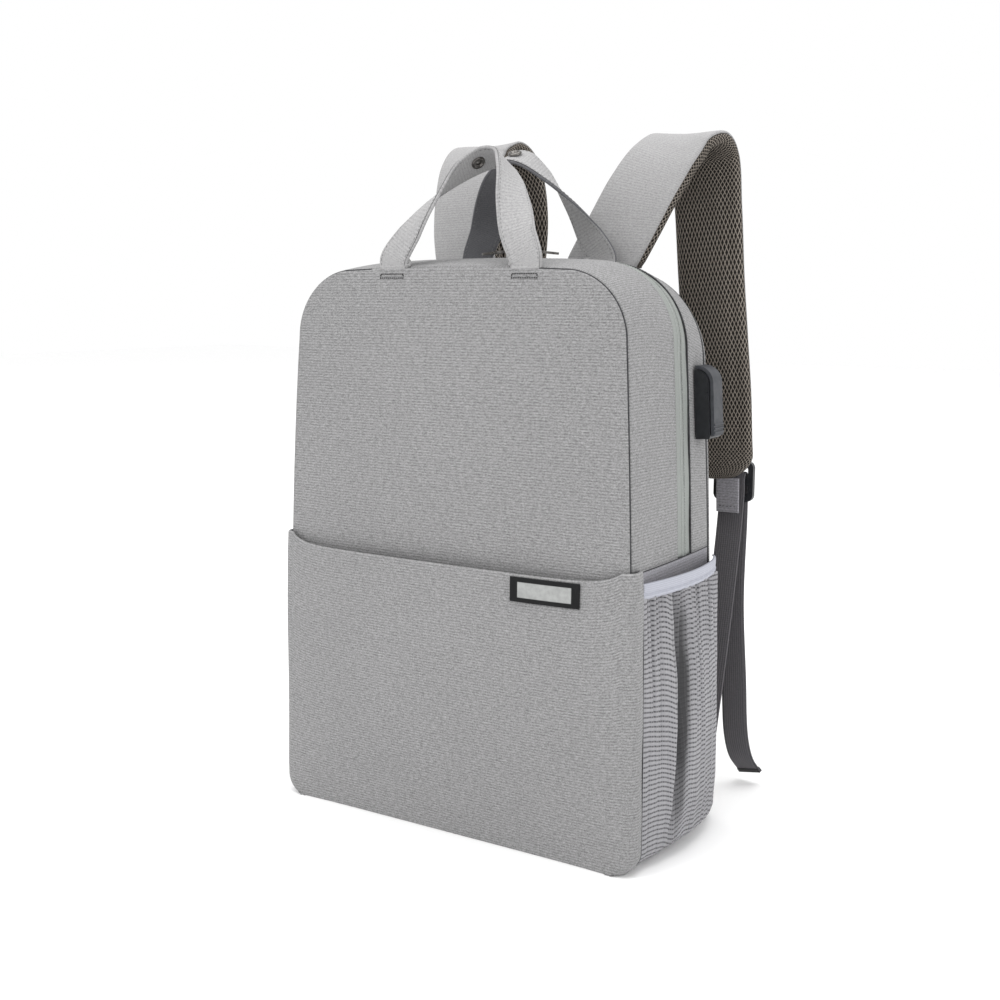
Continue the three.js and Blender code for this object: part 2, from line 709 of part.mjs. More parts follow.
// A zip slider along X, its base on z 0, with two ears that hold the pull's pin.
const EAR_THICKNESS = 1;
function sliderGeometry() {
  const plan = roundedRectangle(new THREE.Shape(), SLIDER_LENGTH, SLIDER_WIDTH, SLIDER_WIDTH * 0.35);
  const body = extruded(plan, SLIDER_HEIGHT, 4);
  const reach = PULL_PIN_RADIUS + 1;
  const ear = new THREE.Shape();
  ear.moveTo(-reach, -SLIDER_HEIGHT / 2);
  ear.lineTo(reach, -SLIDER_HEIGHT / 2);
  ear.lineTo(reach, PULL_PIN_HEIGHT);
  ear.absarc(0, PULL_PIN_HEIGHT, reach, 0, Math.PI);
  let made = solid(body);
  for (const side of [-1, 1]) {
    const plate = extruded(ear, EAR_THICKNESS, 5).rotateX(Math.PI / 2);
    const y = side * (SLIDER_WIDTH / 2 - EAR_THICKNESS / 2 - 0.2) + EAR_THICKNESS / 2;
    plate.translate(0, y, SLIDER_HEIGHT);
    made = made.add(solid(plate));
  }
  const pin = new THREE.CylinderGeometry(PULL_PIN_RADIUS, PULL_PIN_RADIUS, SLIDER_WIDTH - 1, 12);
  pin.translate(0, 0, SLIDER_HEIGHT + PULL_PIN_HEIGHT);
  return fromSolid(made.add(solid(pin)));
}

// A pull that lies along +X from its pin at the origin: an eye round the pin, a waist and a tab with a slot.
function pullGeometry() {
  const bore = PULL_PIN_RADIUS + PULL_PIN_CLEARANCE;
  const eyeRadius = bore + PULL_EYE_WALL;
  const eyeLength = SLIDER_WIDTH - 2 * EAR_THICKNESS - 4 * PULL_PIN_CLEARANCE;
  const ring = new THREE.Shape().absarc(0, 0, eyeRadius, 0, 2 * Math.PI);
  const eye = extruded(ring, eyeLength, 8).rotateX(Math.PI / 2).translate(0, eyeLength / 2, 0);
  const hole = new THREE.Shape().absarc(0, 0, bore, 0, 2 * Math.PI);
  const drill = extruded(hole, 2 * eyeLength, 6).rotateX(Math.PI / 2).translate(0, eyeLength, 0);
  const tab = new THREE.Shape();
  const half = PULL_WIDTH / 2;
  const waist = eyeLength / 2;
  tab.moveTo(0, -waist);
  tab.lineTo(PULL_LENGTH * 0.3, -waist * 0.8);
  tab.lineTo(PULL_LENGTH * 0.45, -half);
  tab.lineTo(PULL_LENGTH - half, -half);
  tab.absarc(PULL_LENGTH - half, 0, half, -Math.PI / 2, Math.PI / 2);
  tab.lineTo(PULL_LENGTH * 0.45, half);
  tab.lineTo(PULL_LENGTH * 0.3, waist * 0.8);
  tab.lineTo(0, waist);
  const slot = roundedRectangle(new THREE.Path(), PULL_LENGTH * 0.34, PULL_WIDTH * 0.42, PULL_WIDTH * 0.2);
  tab.holes.push(shifted(slot, PULL_LENGTH * 0.68));
  const plate = extruded(tab, PULL_THICKNESS, 6).translate(0, 0, -PULL_THICKNESS / 2);
  return fromSolid(solid(plate).add(solid(eye)).subtract(solid(drill)));
}

// A path moved along X.
function shifted(path, dx) {
  return new THREE.Path(path.getPoints(5).map((p) => new THREE.Vector2(p.x + dx, p.y)));
}

// The port's profile seen from the front, from the bag's side at x 0 outwards, with a rounded upper corner.
function portProfile(proud, bottom, top, radius) {
  const shape = new THREE.Shape();
  shape.moveTo(0, bottom);
  shape.lineTo(proud - 1.5, bottom);
  shape.absarc(proud - 1.5, bottom + 1.5, 1.5, -Math.PI / 2, 0);
  shape.lineTo(proud, top - radius);
  shape.absarc(proud - radius, top - radius, radius, 0, Math.PI / 2);
  shape.lineTo(0, top);
  return shape;
}

function portHousingGeometry() {
  const profile = portProfile(PORT_PROUD, -PORT_HEIGHT / 2, PORT_HEIGHT / 2, PORT_PROUD * 0.9);
  return extruded(profile, PORT_WIDTH, 8).rotateX(Math.PI / 2).translate(0, PORT_WIDTH / 2, 0);
}

// The rubber cover: a strip that starts over the housing, turns down its outer face and ends in three ribs.
function portCoverGeometry() {
  const top = PORT_HEIGHT / 2;
  const inner = PORT_PROUD * 0.9 + SEAM_GAP;
  const outer = inner + PORT_COVER_THICKNESS;
  const centreX = PORT_PROUD - PORT_PROUD * 0.9;
  const centreZ = top - PORT_PROUD * 0.9;
  const bottom = -top + 2;
  const shape = new THREE.Shape();
  shape.moveTo(0.2, centreZ + inner);
  shape.lineTo(centreX, centreZ + inner);
  shape.absarc(centreX, centreZ, inner, Math.PI / 2, 0, true);
  shape.lineTo(centreX + inner, bottom);
  const faceX = centreX + outer;
  shape.lineTo(faceX, bottom);
  for (const rib of [0, 1, 2]) {
    const low = bottom + 1.5 + rib * 2.6;
    shape.lineTo(faceX, low);
    shape.lineTo(faceX + PORT_RIB, low + 0.4);
    shape.lineTo(faceX + PORT_RIB, low + 1.2);
    shape.lineTo(faceX, low + 1.6);
  }
  shape.lineTo(faceX, centreZ);
  shape.absarc(centreX, centreZ, outer, 0, Math.PI / 2);
  shape.lineTo(0.2, centreZ + outer);
  return extruded(shape, PORT_COVER_WIDTH, 8).rotateX(Math.PI / 2).translate(0, PORT_COVER_WIDTH / 2, 0);
}

// Strap stations from the top seam, over the crest, to the pad's lower end. Up is a share of the rise above
// the top seam, or of the drop below it where it is negative; back is a share of the reach; out is in strap
// widths beyond the root; yaw is the turn of the strap's width about the vertical, in degrees; level is how
// far the strap's width stays level where it leans.
const STRAP_STATIONS = {
  right: [
    { up: 0.024, back: 0, out: -0.19, yaw: 0, level: 1 },
    { up: 0.07, back: 0, out: -0.155, yaw: 0, level: 1 },
    { up: 0.36, back: 0.06, out: 0.09, yaw: 1, level: 0.8 },
    { up: 0.64, back: 0.15, out: 0.32, yaw: 1, level: 0.4 },
    { up: 0.86, back: 0.3, out: 0.52, yaw: 0, level: 0.1 },
    { up: 0.98, back: 0.5, out: 0.66, yaw: -2, level: 0 },
    { up: 0.98, back: 0.72, out: 0.76, yaw: -4, level: 0 },
    { up: 0.86, back: 0.89, out: 0.8, yaw: -6, level: 0 },
    { up: 0.5, back: 0.98, out: 0.83, yaw: -8, level: 0 },
    { up: -0.02, back: 1, out: 0.89, yaw: -8, level: 0 },
    { up: -0.33, back: 1, out: 0.97, yaw: -7, level: 0 },
    { up: -0.6, back: 1, out: 1.04, yaw: -6, level: 0 },
    { up: -0.85, back: 1, out: 1.08, yaw: -5, level: 0 },
    { up: -1, back: 0.98, out: 1.12, yaw: -4, level: 0 },
  ],
  left: [
    { up: 0.024, back: 0, out: 0.1, yaw: 0, level: 1 },
    { up: 0.07, back: 0, out: 0.1, yaw: 0, level: 1 },
    { up: 0.36, back: 0.06, out: 0.19, yaw: 1, level: 0.8 },
    { up: 0.64, back: 0.15, out: 0.22, yaw: 1, level: 0.4 },
    { up: 0.86, back: 0.3, out: 0.23, yaw: 0, level: 0.1 },
    { up: 0.98, back: 0.5, out: 0.2, yaw: -2, level: 0 },
    { up: 0.98, back: 0.72, out: 0.12, yaw: -4, level: 0 },
    { up: 0.86, back: 0.89, out: 0.02, yaw: -5, level: 0 },
    { up: 0.5, back: 0.98, out: -0.06, yaw: -6, level: 0 },
    { up: -0.02, back: 1, out: 0.02, yaw: -8, level: 0 },
    { up: -0.33, back: 1, out: 0.25, yaw: -8, level: 0 },
    { up: -0.6, back: 1, out: 0.56, yaw: -7, level: 0 },
    { up: -0.85, back: 1, out: 0.84, yaw: -5, level: 0 },
    { up: -1, back: 0.98, out: 1.02, yaw: -4, level: 0 },
  ],
};
const STRAP_END_ROUND = 0.045;

function strapRibbon(sign, stations) {
  const topZ = REAR_SEAM_HEIGHT;
  const seat = rearSeamY(topZ) - BACK_PAD + SEAM_GAP + STRAP_SKIN_GAP + STRAP_COVER + STRAP_ROOT_LAP;
  const centres = stations.map(({ up, back, out }) =>
    vec(
      sign * (STRAP_ROOT_X + out * STRAP_WIDTH),
      seat + back * STRAP_REACH,
      topZ + up * (up > 0 ? STRAP_RISE : STRAP_DROP),
    ),
  );
  const widths = stations.map(({ yaw }) => {
    const angle = (sign * yaw * Math.PI) / 180;
    return vec(Math.cos(angle), Math.sin(angle), 0);
  });
  const levels = stations.map(({ level }) => level);
  return new Ribbon(centres, widths, levels);
}

// How much of its full width the strap has at a share of its length: it narrows to a round lower end.
function strapWidthAt(share) {
  const rest = clamp((1 - share) / STRAP_END_ROUND, 0, 1);
  const taper = 1 - 0.06 * smooth((share - 0.5) * 2);
  return STRAP_WIDTH * taper * (0.55 + 0.45 * Math.sqrt(1 - (1 - rest) ** 2));
}

function strapShares() {
  return [...spread(0, 1 - STRAP_END_ROUND, 30), ...spread(1 - STRAP_END_ROUND, 1, 4).slice(1)];
}

// The pad's section: thick in the middle and rounded towards both edges, on the mesh side of the ribbon.
function padSection(share) {
  const half = strapWidthAt(share) / 2;
  const edge = STRAP_PAD * 0.25;
  return [
    [-half + edge, 0],
    [half - edge, 0],
    [half, -STRAP_PAD * 0.3],
    [half - edge, -STRAP_PAD * 0.75],
    [half * 0.6, -STRAP_PAD],
    [-half * 0.6, -STRAP_PAD],
    [-half + edge, -STRAP_PAD * 0.75],
    [-half, -STRAP_PAD * 0.3],
  ];
}

function coverSection(share) {
  const width = strapWidthAt(share) - STRAP_PAD * 0.5;
  return flatSection(width, STRAP_SKIN_GAP, STRAP_SKIN_GAP + STRAP_COVER);
}

// A ladder lock in the XZ plane: three bars with two slots between them.
function lockGeometry() {
  const shape = roundedRectangle(new THREE.Shape(), LOCK_WIDTH, LOCK_HEIGHT, 5);
  const slotHeight = (LOCK_HEIGHT - 3 * LOCK_BAR) / 2;
  for (const side of [-1, 1]) {
    const slot = roundedRectangle(new THREE.Path(), LOCK_SLOT_WIDTH, slotHeight, 1.5);
    const centre = (side * (LOCK_BAR + slotHeight)) / 2;
    shape.holes.push(new THREE.Path(slot.getPoints(3).map((p) => new THREE.Vector2(p.x, p.y + centre))));
  }
  return extruded(shape, LOCK_THICKNESS, 4).rotateX(Math.PI / 2).translate(0, LOCK_THICKNESS / 2, 0);
}

// Places of the hardware at the lower end of a strap, worked out from the pad's end.
function hardwareFrame(sign, ribbon) {
  const { centre, width } = ribbon.frame(1);
  const x = centre.x + sign * STRAP_WIDTH * LOCK_OFFSET;
  const coverY = centre.y + STRAP_SKIN_GAP + STRAP_COVER;
  const lockY = coverY + LOCK_CLEARANCE + WEBBING_THICKNESS + LOCK_THICKNESS / 2;
  const fall = [-1, 1].map((side) => (x + (side * TAB_WIDTH) / 2 - centre.x) * (width.z / width.x));
  const padEnd = centre.z + Math.min(...fall);
  return { x, padEnd, padFront: centre.y - STRAP_PAD, lockY, lockZ: centre.z - 2 };
}

// The tab: a strip of cloth that hangs from the pad's end in front of the lock.
function tabGeometry(place) {
  const frontY = place.padFront + STRAP_PAD * 0.4;
  const low = place.padEnd - TAB_LENGTH;
  const centres = [
    vec(place.x, frontY, place.padEnd - 2 * SEAM_GAP),
    vec(place.x, frontY + 0.6, lerp(place.padEnd, low, 0.5)),
    vec(place.x, frontY + 1.6, low),
  ];
  const ribbon = new Ribbon(centres, centres.map(() => vec(1, 0, 0)));
  const half = TAB_THICKNESS / 2;
  return ribbon.sweep(() => flatSection(TAB_WIDTH, -half, half), spread(0, 1, 4));
}

// The webbing: from its anchor at the bag's lower corner up to the lock, through its upper slot and down
// again as a free tail that ends in a hem just over the floor.
function webbingRibbon(sign, place) {
  const slot = place.lockZ + (LOCK_BAR + (LOCK_HEIGHT - 3 * LOCK_BAR) / 2) / 2;
  const front = place.lockY - LOCK_THICKNESS / 2 - SEAM_GAP - WEBBING_THICKNESS / 2;
  const back = place.lockY + LOCK_THICKNESS / 2 + SEAM_GAP + WEBBING_THICKNESS / 2;
  const anchorY = anchorTip(sign).y + SEAM_GAP + WEBBING_THICKNESS / 2;
  const anchorZ = ANCHOR_CENTRE_HEIGHT;
  const anchorX = anchorTip(sign).x;
  const tailX = place.x;
  const line = (share) => ({
    x: lerp(anchorX, place.x, share),
    y: lerp(anchorY, front, share),
    z: lerp(anchorZ, slot - LOCK_HEIGHT * 0.75, share),
  });
  const slack = 3;
  const rise = [0, 0.3, 0.6, 0.9].map((share) => {
    const { x, y, z } = line(share);
    return vec(x, y + slack * Math.sin(Math.PI * share), z);
  });
  const centres = [
    ...rise,
    vec(place.x, front, slot - LOCK_HEIGHT * 0.45),
    vec(place.x, front, slot - 3.2),
    vec(place.x, place.lockY, slot),
    vec(place.x, back, slot - 3.2),
    vec(place.x, back, slot - LOCK_HEIGHT * 0.45),
    vec(tailX, back + 0.5, place.lockZ - LOCK_HEIGHT * 0.9),
    vec(tailX, back - 1, lerp(TAIL_END_HEIGHT, place.lockZ, 0.6)),
    vec(tailX + sign * TAIL_SHIFT * 0.3, back - 2, lerp(TAIL_END_HEIGHT, place.lockZ, 0.34)),
    vec(tailX + sign * TAIL_SHIFT * 0.5, back - 1, lerp(TAIL_END_HEIGHT, place.lockZ, 0.14)),
    vec(tailX + sign * TAIL_SHIFT * 0.7, back + TAIL_REACH * 0.3, TAIL_END_HEIGHT + TAIL_REACH),
    vec(tailX + sign * TAIL_SHIFT, back + TAIL_REACH, TAIL_END_HEIGHT),
  ];
  return new Ribbon(centres, centres.map(() => vec(1, 0, 0)));
}

function webbingGeometry(ribbon) {
  const length = ribbon.curve.getLength();
  const hem = HEM_LENGTH / length;
  const half = WEBBING_THICKNESS / 2;
  const section = (share) => {
    const thick = share > 1 - hem ? half * 1.9 : half;
    return [
      [-WEBBING_WIDTH / 2, -thick],
      [WEBBING_WIDTH / 2, -thick],
      [WEBBING_WIDTH / 2, thick],
      [-WEBBING_WIDTH / 2, thick],
    ];
  };
  const shares = [...spread(0, 1 - hem, 56), 1 - hem * 0.98, 1 - hem * 0.5, 1];
  return ribbon.sweep(section, shares);
}

// The tip of an anchor tab, where the webbing is sewn to it.
function anchorTip(sign) {
  const z = ANCHOR_CENTRE_HEIGHT;
  const x = sign * (BASE_HALF_WIDTH_REAR - ANCHOR_REACH * 0.6);
  const inner = Math.abs(x) - WEBBING_WIDTH / 2 - 1;
  const y = backFaceY(inner, z + ANCHOR_HEIGHT / 2) + SEAM_GAP + ANCHOR_THICKNESS;
  return vec(x, y, z);
}

// An anchor tab: a flat triangle of cloth on the back panel, its point towards the webbing.
function anchorGeometry(sign) {
  const shape = new THREE.Shape();
  const half = ANCHOR_HEIGHT / 2;
  const inner = WEBBING_WIDTH / 2 + 1;
  shape.moveTo(-inner, -half);
  shape.lineTo(inner, -half);
  shape.lineTo(inner, half * 0.4);
  shape.lineTo(inner * 0.6, half);
  shape.lineTo(-inner * 0.6, half);
  shape.lineTo(-inner, half * 0.4);
  return extruded(shape, ANCHOR_THICKNESS, 1).rotateX(Math.PI / 2);
}

const MATERIALS = {
  canvas: { color: 0xa9a8a8, roughness: 0.9, metalness: 0 },
  lining: { color: 0x8d8b90, roughness: 0.8, metalness: 0 },
  mesh: { color: 0xa7a6a6, roughness: 0.9, metalness: 0 },
  trim: { color: 0xb9bdc8, roughness: 0.7, metalness: 0 },
  zip: { color: 0xa4a8a4, roughness: 0.8, metalness: 0 },
  airmesh: { color: 0x6e655c, roughness: 0.9, metalness: 0 },
  webbing: { color: 0x4b4a4d, roughness: 0.8, metalness: 0 },
  black: { color: 0x1f2124, roughness: 0.4, metalness: 0 },
  rubber: { color: 0x55555a, roughness: 0.6, metalness: 0 },
  metal: { color: 0xc9c9c6, roughness: 0.3, metalness: 1 },
};

const backpack = new THREE.Group();
backpack.name = "camera_backpack";

function addMesh(name, shape, finish) {
  const mesh = shape.isMesh ? shape : new THREE.Mesh(shape);
  mesh.name = name;
  mesh.material = new THREE.MeshStandardMaterial(MATERIALS[finish]);
  backpack.add(mesh);
  return mesh;
}

function addBody() {
  const zipEnd = ZIP_BAND_START + ZIP_BAND_WIDTH;
  const bands = {
    front: (place) => ({ from: gussetEdges(place).front, to: ZIP_BAND_START - SEAM_GAP }),
    zip: () => ({ from: ZIP_BAND_START, to: zipEnd }),
    rear: (place) => ({ from: zipEnd + SEAM_GAP, to: gussetEdges(place).rear }),
    whole: (place) => ({ from: gussetEdges(place).front, to: gussetEdges(place).rear }),
  };
  addMesh("front_panel", panelGeometry(0, frontFaceY, PANEL_WALL), "canvas");
  addMesh("back_panel", panelGeometry(1, backFaceY, -BACK_PAD), "airmesh");
  addMesh("front_gusset", gussetStrip(archStations(), bands.front, PANEL_WALL, 3), "canvas");
  addMesh("zip_band", gussetStrip(archStations(), bands.zip, ZIP_WALL, 1), "zip");
  addMesh("rear_gusset", gussetStrip(archStations(), bands.rear, PANEL_WALL, 2), "canvas");
  addMesh("base_panel", gussetStrip(baseStations(), bands.whole, PANEL_WALL, 2), "canvas");
  const lower = placesBetween(OUTLINE_LEGS.lowerSide, OUTLINE_LEGS.upperSide - SEAM_PLACE_GAP);
  for (const [side, sign] of [["right", 1], ["left", -1]]) {
    const stations = lower.map((place) => [place, sign]);
    addMesh(`side_panel_${side}`, gussetStrip(stations, bands.whole, PANEL_WALL, 4), "lining");
    addMesh(`mesh_pocket_${side}`, meshPocketGeometry(sign), "mesh");
    addMesh(`pocket_trim_${side}`, trimGeometry(sign), "trim");
  }
  addMesh("front_pocket", frontPocketGeometry(), "canvas");
  addMesh("front_patch", patchGeometry(), "black");
}

function addHandles() {
  const frontFootY = frontSeamY(FRONT_SEAM_HEIGHT) + HANDLE_THICKNESS / 2;
  const front = handleRibbon(frontFootY, -HANDLE_APEX_DEPTH, 1);
  const rear = handleRibbon(HANDLE_REAR_DEPTH, HANDLE_APEX_DEPTH, -1);
  addMesh("handle_front", handleGeometry(front), "canvas");
  addMesh("handle_rear", handleGeometry(rear), "canvas");
  addMesh("snap_front", placeSnap(front, 0.42, 1, 1), "metal");
  addMesh("snap_rear", placeSnap(rear, 0.5, -1, 1), "metal");
}

// The height of the zip band's face under a point: the band is flat from its front edge to its rear edge.
function bandHeight(x, y) {
  const end = ZIP_BAND_START + ZIP_BAND_WIDTH;
  return lerp(topHeight(x, ZIP_BAND_START), topHeight(x, end), (y - ZIP_BAND_START) / ZIP_BAND_WIDTH);
}

function addZipPulls() {
  const y = ZIP_BAND_START + ZIP_BAND_WIDTH / 2;
  for (const [side, sign] of [["right", 1], ["left", -1]]) {
    const x = SLIDER_MEETING_X + sign * (SLIDER_LENGTH / 2 + SEAM_GAP);
    const corners = [-1, 1].flatMap((endX) =>
      [-1, 1].map((endY) => bandHeight(x + (endX * SLIDER_LENGTH) / 2, y + (endY * SLIDER_WIDTH) / 2)),
    );
    const seat = Math.max(...corners) + SEAM_GAP;
    const slider = addMesh(`slider_${side}`, sliderGeometry(), "metal");
    slider.position.set(x, y, seat);
    const pull = addMesh(`pull_${side}`, pullGeometry(), "metal");
    pull.position.set(x, y, seat + SLIDER_HEIGHT + PULL_PIN_HEIGHT);
    pull.rotation.set(0, sign > 0 ? 0.1 : Math.PI - 0.1, 0);
  }
}

function addPort() {
  const low = PORT_CENTRE_HEIGHT - PORT_HEIGHT / 2;
  const high = PORT_CENTRE_HEIGHT + PORT_HEIGHT / 2;
  const share = (z) => depthShare(PORT_CENTRE_DEPTH - PORT_WIDTH / 2, z);
  const lowX = halfWidth(low, share(low));
  const highX = halfWidth(high, share(high));
  const port = new THREE.Group();
  port.position.set((lowX + highX) / 2 + CORNER_GAP, PORT_CENTRE_DEPTH, PORT_CENTRE_HEIGHT);
  port.rotation.y = -Math.atan2(lowX - highX, PORT_HEIGHT);
  const housing = addMesh("port_housing", portHousingGeometry(), "black");
  const cover = addMesh("port_cover", portCoverGeometry(), "rubber");
  port.add(housing, cover);
  backpack.add(port);
}

function addStraps() {
  for (const [side, sign] of [["right", 1], ["left", -1]]) {
    const ribbon = strapRibbon(sign, STRAP_STATIONS[side]);
    const facing = sign;
    addMesh(`strap_pad_${side}`, ribbon.sweep(padSection, strapShares()), "airmesh");
    addMesh(`strap_cover_${side}`, ribbon.sweep(coverSection, strapShares()), "canvas");
    const place = hardwareFrame(facing, ribbon);
    addMesh(`strap_tab_${side}`, tabGeometry(place), "lining");
    const lock = addMesh(`ladder_lock_${side}`, lockGeometry(), "black");
    lock.position.set(place.x, place.lockY, place.lockZ);
    addMesh(`webbing_${side}`, webbingGeometry(webbingRibbon(sign, place)), "webbing");
    const tip = anchorTip(sign);
    const anchor = addMesh(`anchor_${side}`, anchorGeometry(sign), "lining");
    anchor.position.set(tip.x, tip.y, ANCHOR_CENTRE_HEIGHT - ANCHOR_HEIGHT / 2 + 2);
  }
}

addBody();
addHandles();
addZipPulls();
addPort();
addStraps();

export default backpack;
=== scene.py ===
"""A grey camera backpack: cloth, mesh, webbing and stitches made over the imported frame, in a plain studio."""
import logging
import math
from dataclasses import dataclass, field
from enum import Enum
from typing import Callable, Sequence

import bmesh
import bpy
from mathutils import Matrix, Vector, noise


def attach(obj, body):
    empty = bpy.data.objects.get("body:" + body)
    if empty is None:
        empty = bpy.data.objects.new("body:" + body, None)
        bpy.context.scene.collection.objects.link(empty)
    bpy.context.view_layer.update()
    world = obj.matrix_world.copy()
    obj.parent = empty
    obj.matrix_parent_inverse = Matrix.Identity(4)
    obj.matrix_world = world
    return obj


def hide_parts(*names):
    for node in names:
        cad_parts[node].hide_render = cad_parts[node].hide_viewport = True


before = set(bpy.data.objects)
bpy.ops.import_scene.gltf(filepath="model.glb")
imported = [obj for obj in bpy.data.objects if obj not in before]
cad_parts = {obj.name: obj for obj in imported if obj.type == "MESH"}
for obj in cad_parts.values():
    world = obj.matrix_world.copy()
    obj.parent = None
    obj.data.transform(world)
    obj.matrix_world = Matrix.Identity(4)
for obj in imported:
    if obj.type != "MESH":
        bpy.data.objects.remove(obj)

log = logging.getLogger("camera_backpack")
MM = 0.001
CLOTH_MAP = "Cloth"
SEAM_GROUP = "seam"
# Name of the vertex value that holds the knit's painted shade in its folds.
PAINTED_SHADE_VALUE = "fold"
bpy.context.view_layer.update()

Place = Callable[[float, float], Vector]
Flat = Callable[[float, float], tuple[float, float]]
Hold = Callable[[float, float], float]
Path = Callable[[float], tuple[Vector, Vector]]
Ends = Callable[[float], tuple[float, float]]
Rows = tuple[tuple[float, ...], ...]
Socket = bpy.types.NodeSocket
Pair = tuple[Socket, Socket]

FRONTWARD = Vector((0, -1, 0))
REARWARD = Vector((0, 1, 0))
UPWARD = Vector((0, 0, 1))
DOWNWARD = Vector((0, 0, -1))


def lerp(a: float, b: float, t: float) -> float:
    """Returns the number at share t of the way from a to b."""
    return a + (b - a) * t


def clamp(x: float, low: float = 0.0, high: float = 1.0) -> float:
    """Returns x held between low and high."""
    return max(low, min(high, x))


def smooth(x: float) -> float:
    """Returns a soft step that is 0 below 0 and 1 above 1."""
    t = clamp(x)
    return t * t * (3 - 2 * t)


def rolled(distance: float, radius: float) -> float:
    """Works out how deep a cloth edge rolls into its seam.

    Args:
        distance: How far the point is from the edge, in millimetres.
        radius: The radius of the roll, in millimetres.

    Returns:
        The depth in millimetres, which is the radius at the edge and 0 past the roll.
    """
    rest = 1 - clamp(distance / radius)
    return radius * (1 - math.sqrt(max(0.0, 1 - rest * rest)))


def edge_share(t: float, edge: float, lines: float = 0.1) -> float:
    """Crowds grid lines near both ends of a sheet, so that its rolled edges stay round.

    Args:
        t: The grid line's place, from 0 to 1.
        edge: The share of the sheet that each rolled edge takes.
        lines: The share of the grid lines that each rolled edge gets.

    Returns:
        The place on the sheet, from 0 to 1.
    """
    if t < lines:
        return edge * t / lines
    if t > 1 - lines:
        return 1 - edge * (1 - t) / lines
    return edge + (1 - 2 * edge) * (t - lines) / (1 - 2 * lines)


def wrinkle(point: Vector, length: float, depth: float) -> float:
    """Returns a soft unevenness in millimetres at a point, from its wave's length and its greatest height."""
    return depth * noise.noise(point / length)


def bell(x: float, middle: float, slope: float) -> float:
    """Returns the height of a bell curve, 1 at its middle and nearly 0 two slopes away."""
    return math.exp(-(((x - middle) / slope) ** 2))


def both_ways(t: float) -> tuple[float, float]:
    """Returns how far share t lies from the middle, from 0 to 1, and its side, 1 or -1."""
    across = 2 * t - 1
    return abs(across), (1.0 if across > 0 else -1.0)


def off_middle(u: float, edge: float, width: float) -> float:
    """Returns a point's distance from the middle of a sheet, with more grid lines near its edges."""
    return (edge_share(u, edge) - 0.5) * width


class Side(Enum):
    """The two sides of the bag, with the sign of X on each."""

    RIGHT = 1
    LEFT = -1

    @property
    def word(self) -> str:
        """Returns the side's name in lower case, as the CAD nodes have it."""
        return self.name.lower()

    @property
    def out(self) -> Vector:
        """Returns the direction out of the bag on this side."""
        return Vector((self.value, 0, 0))


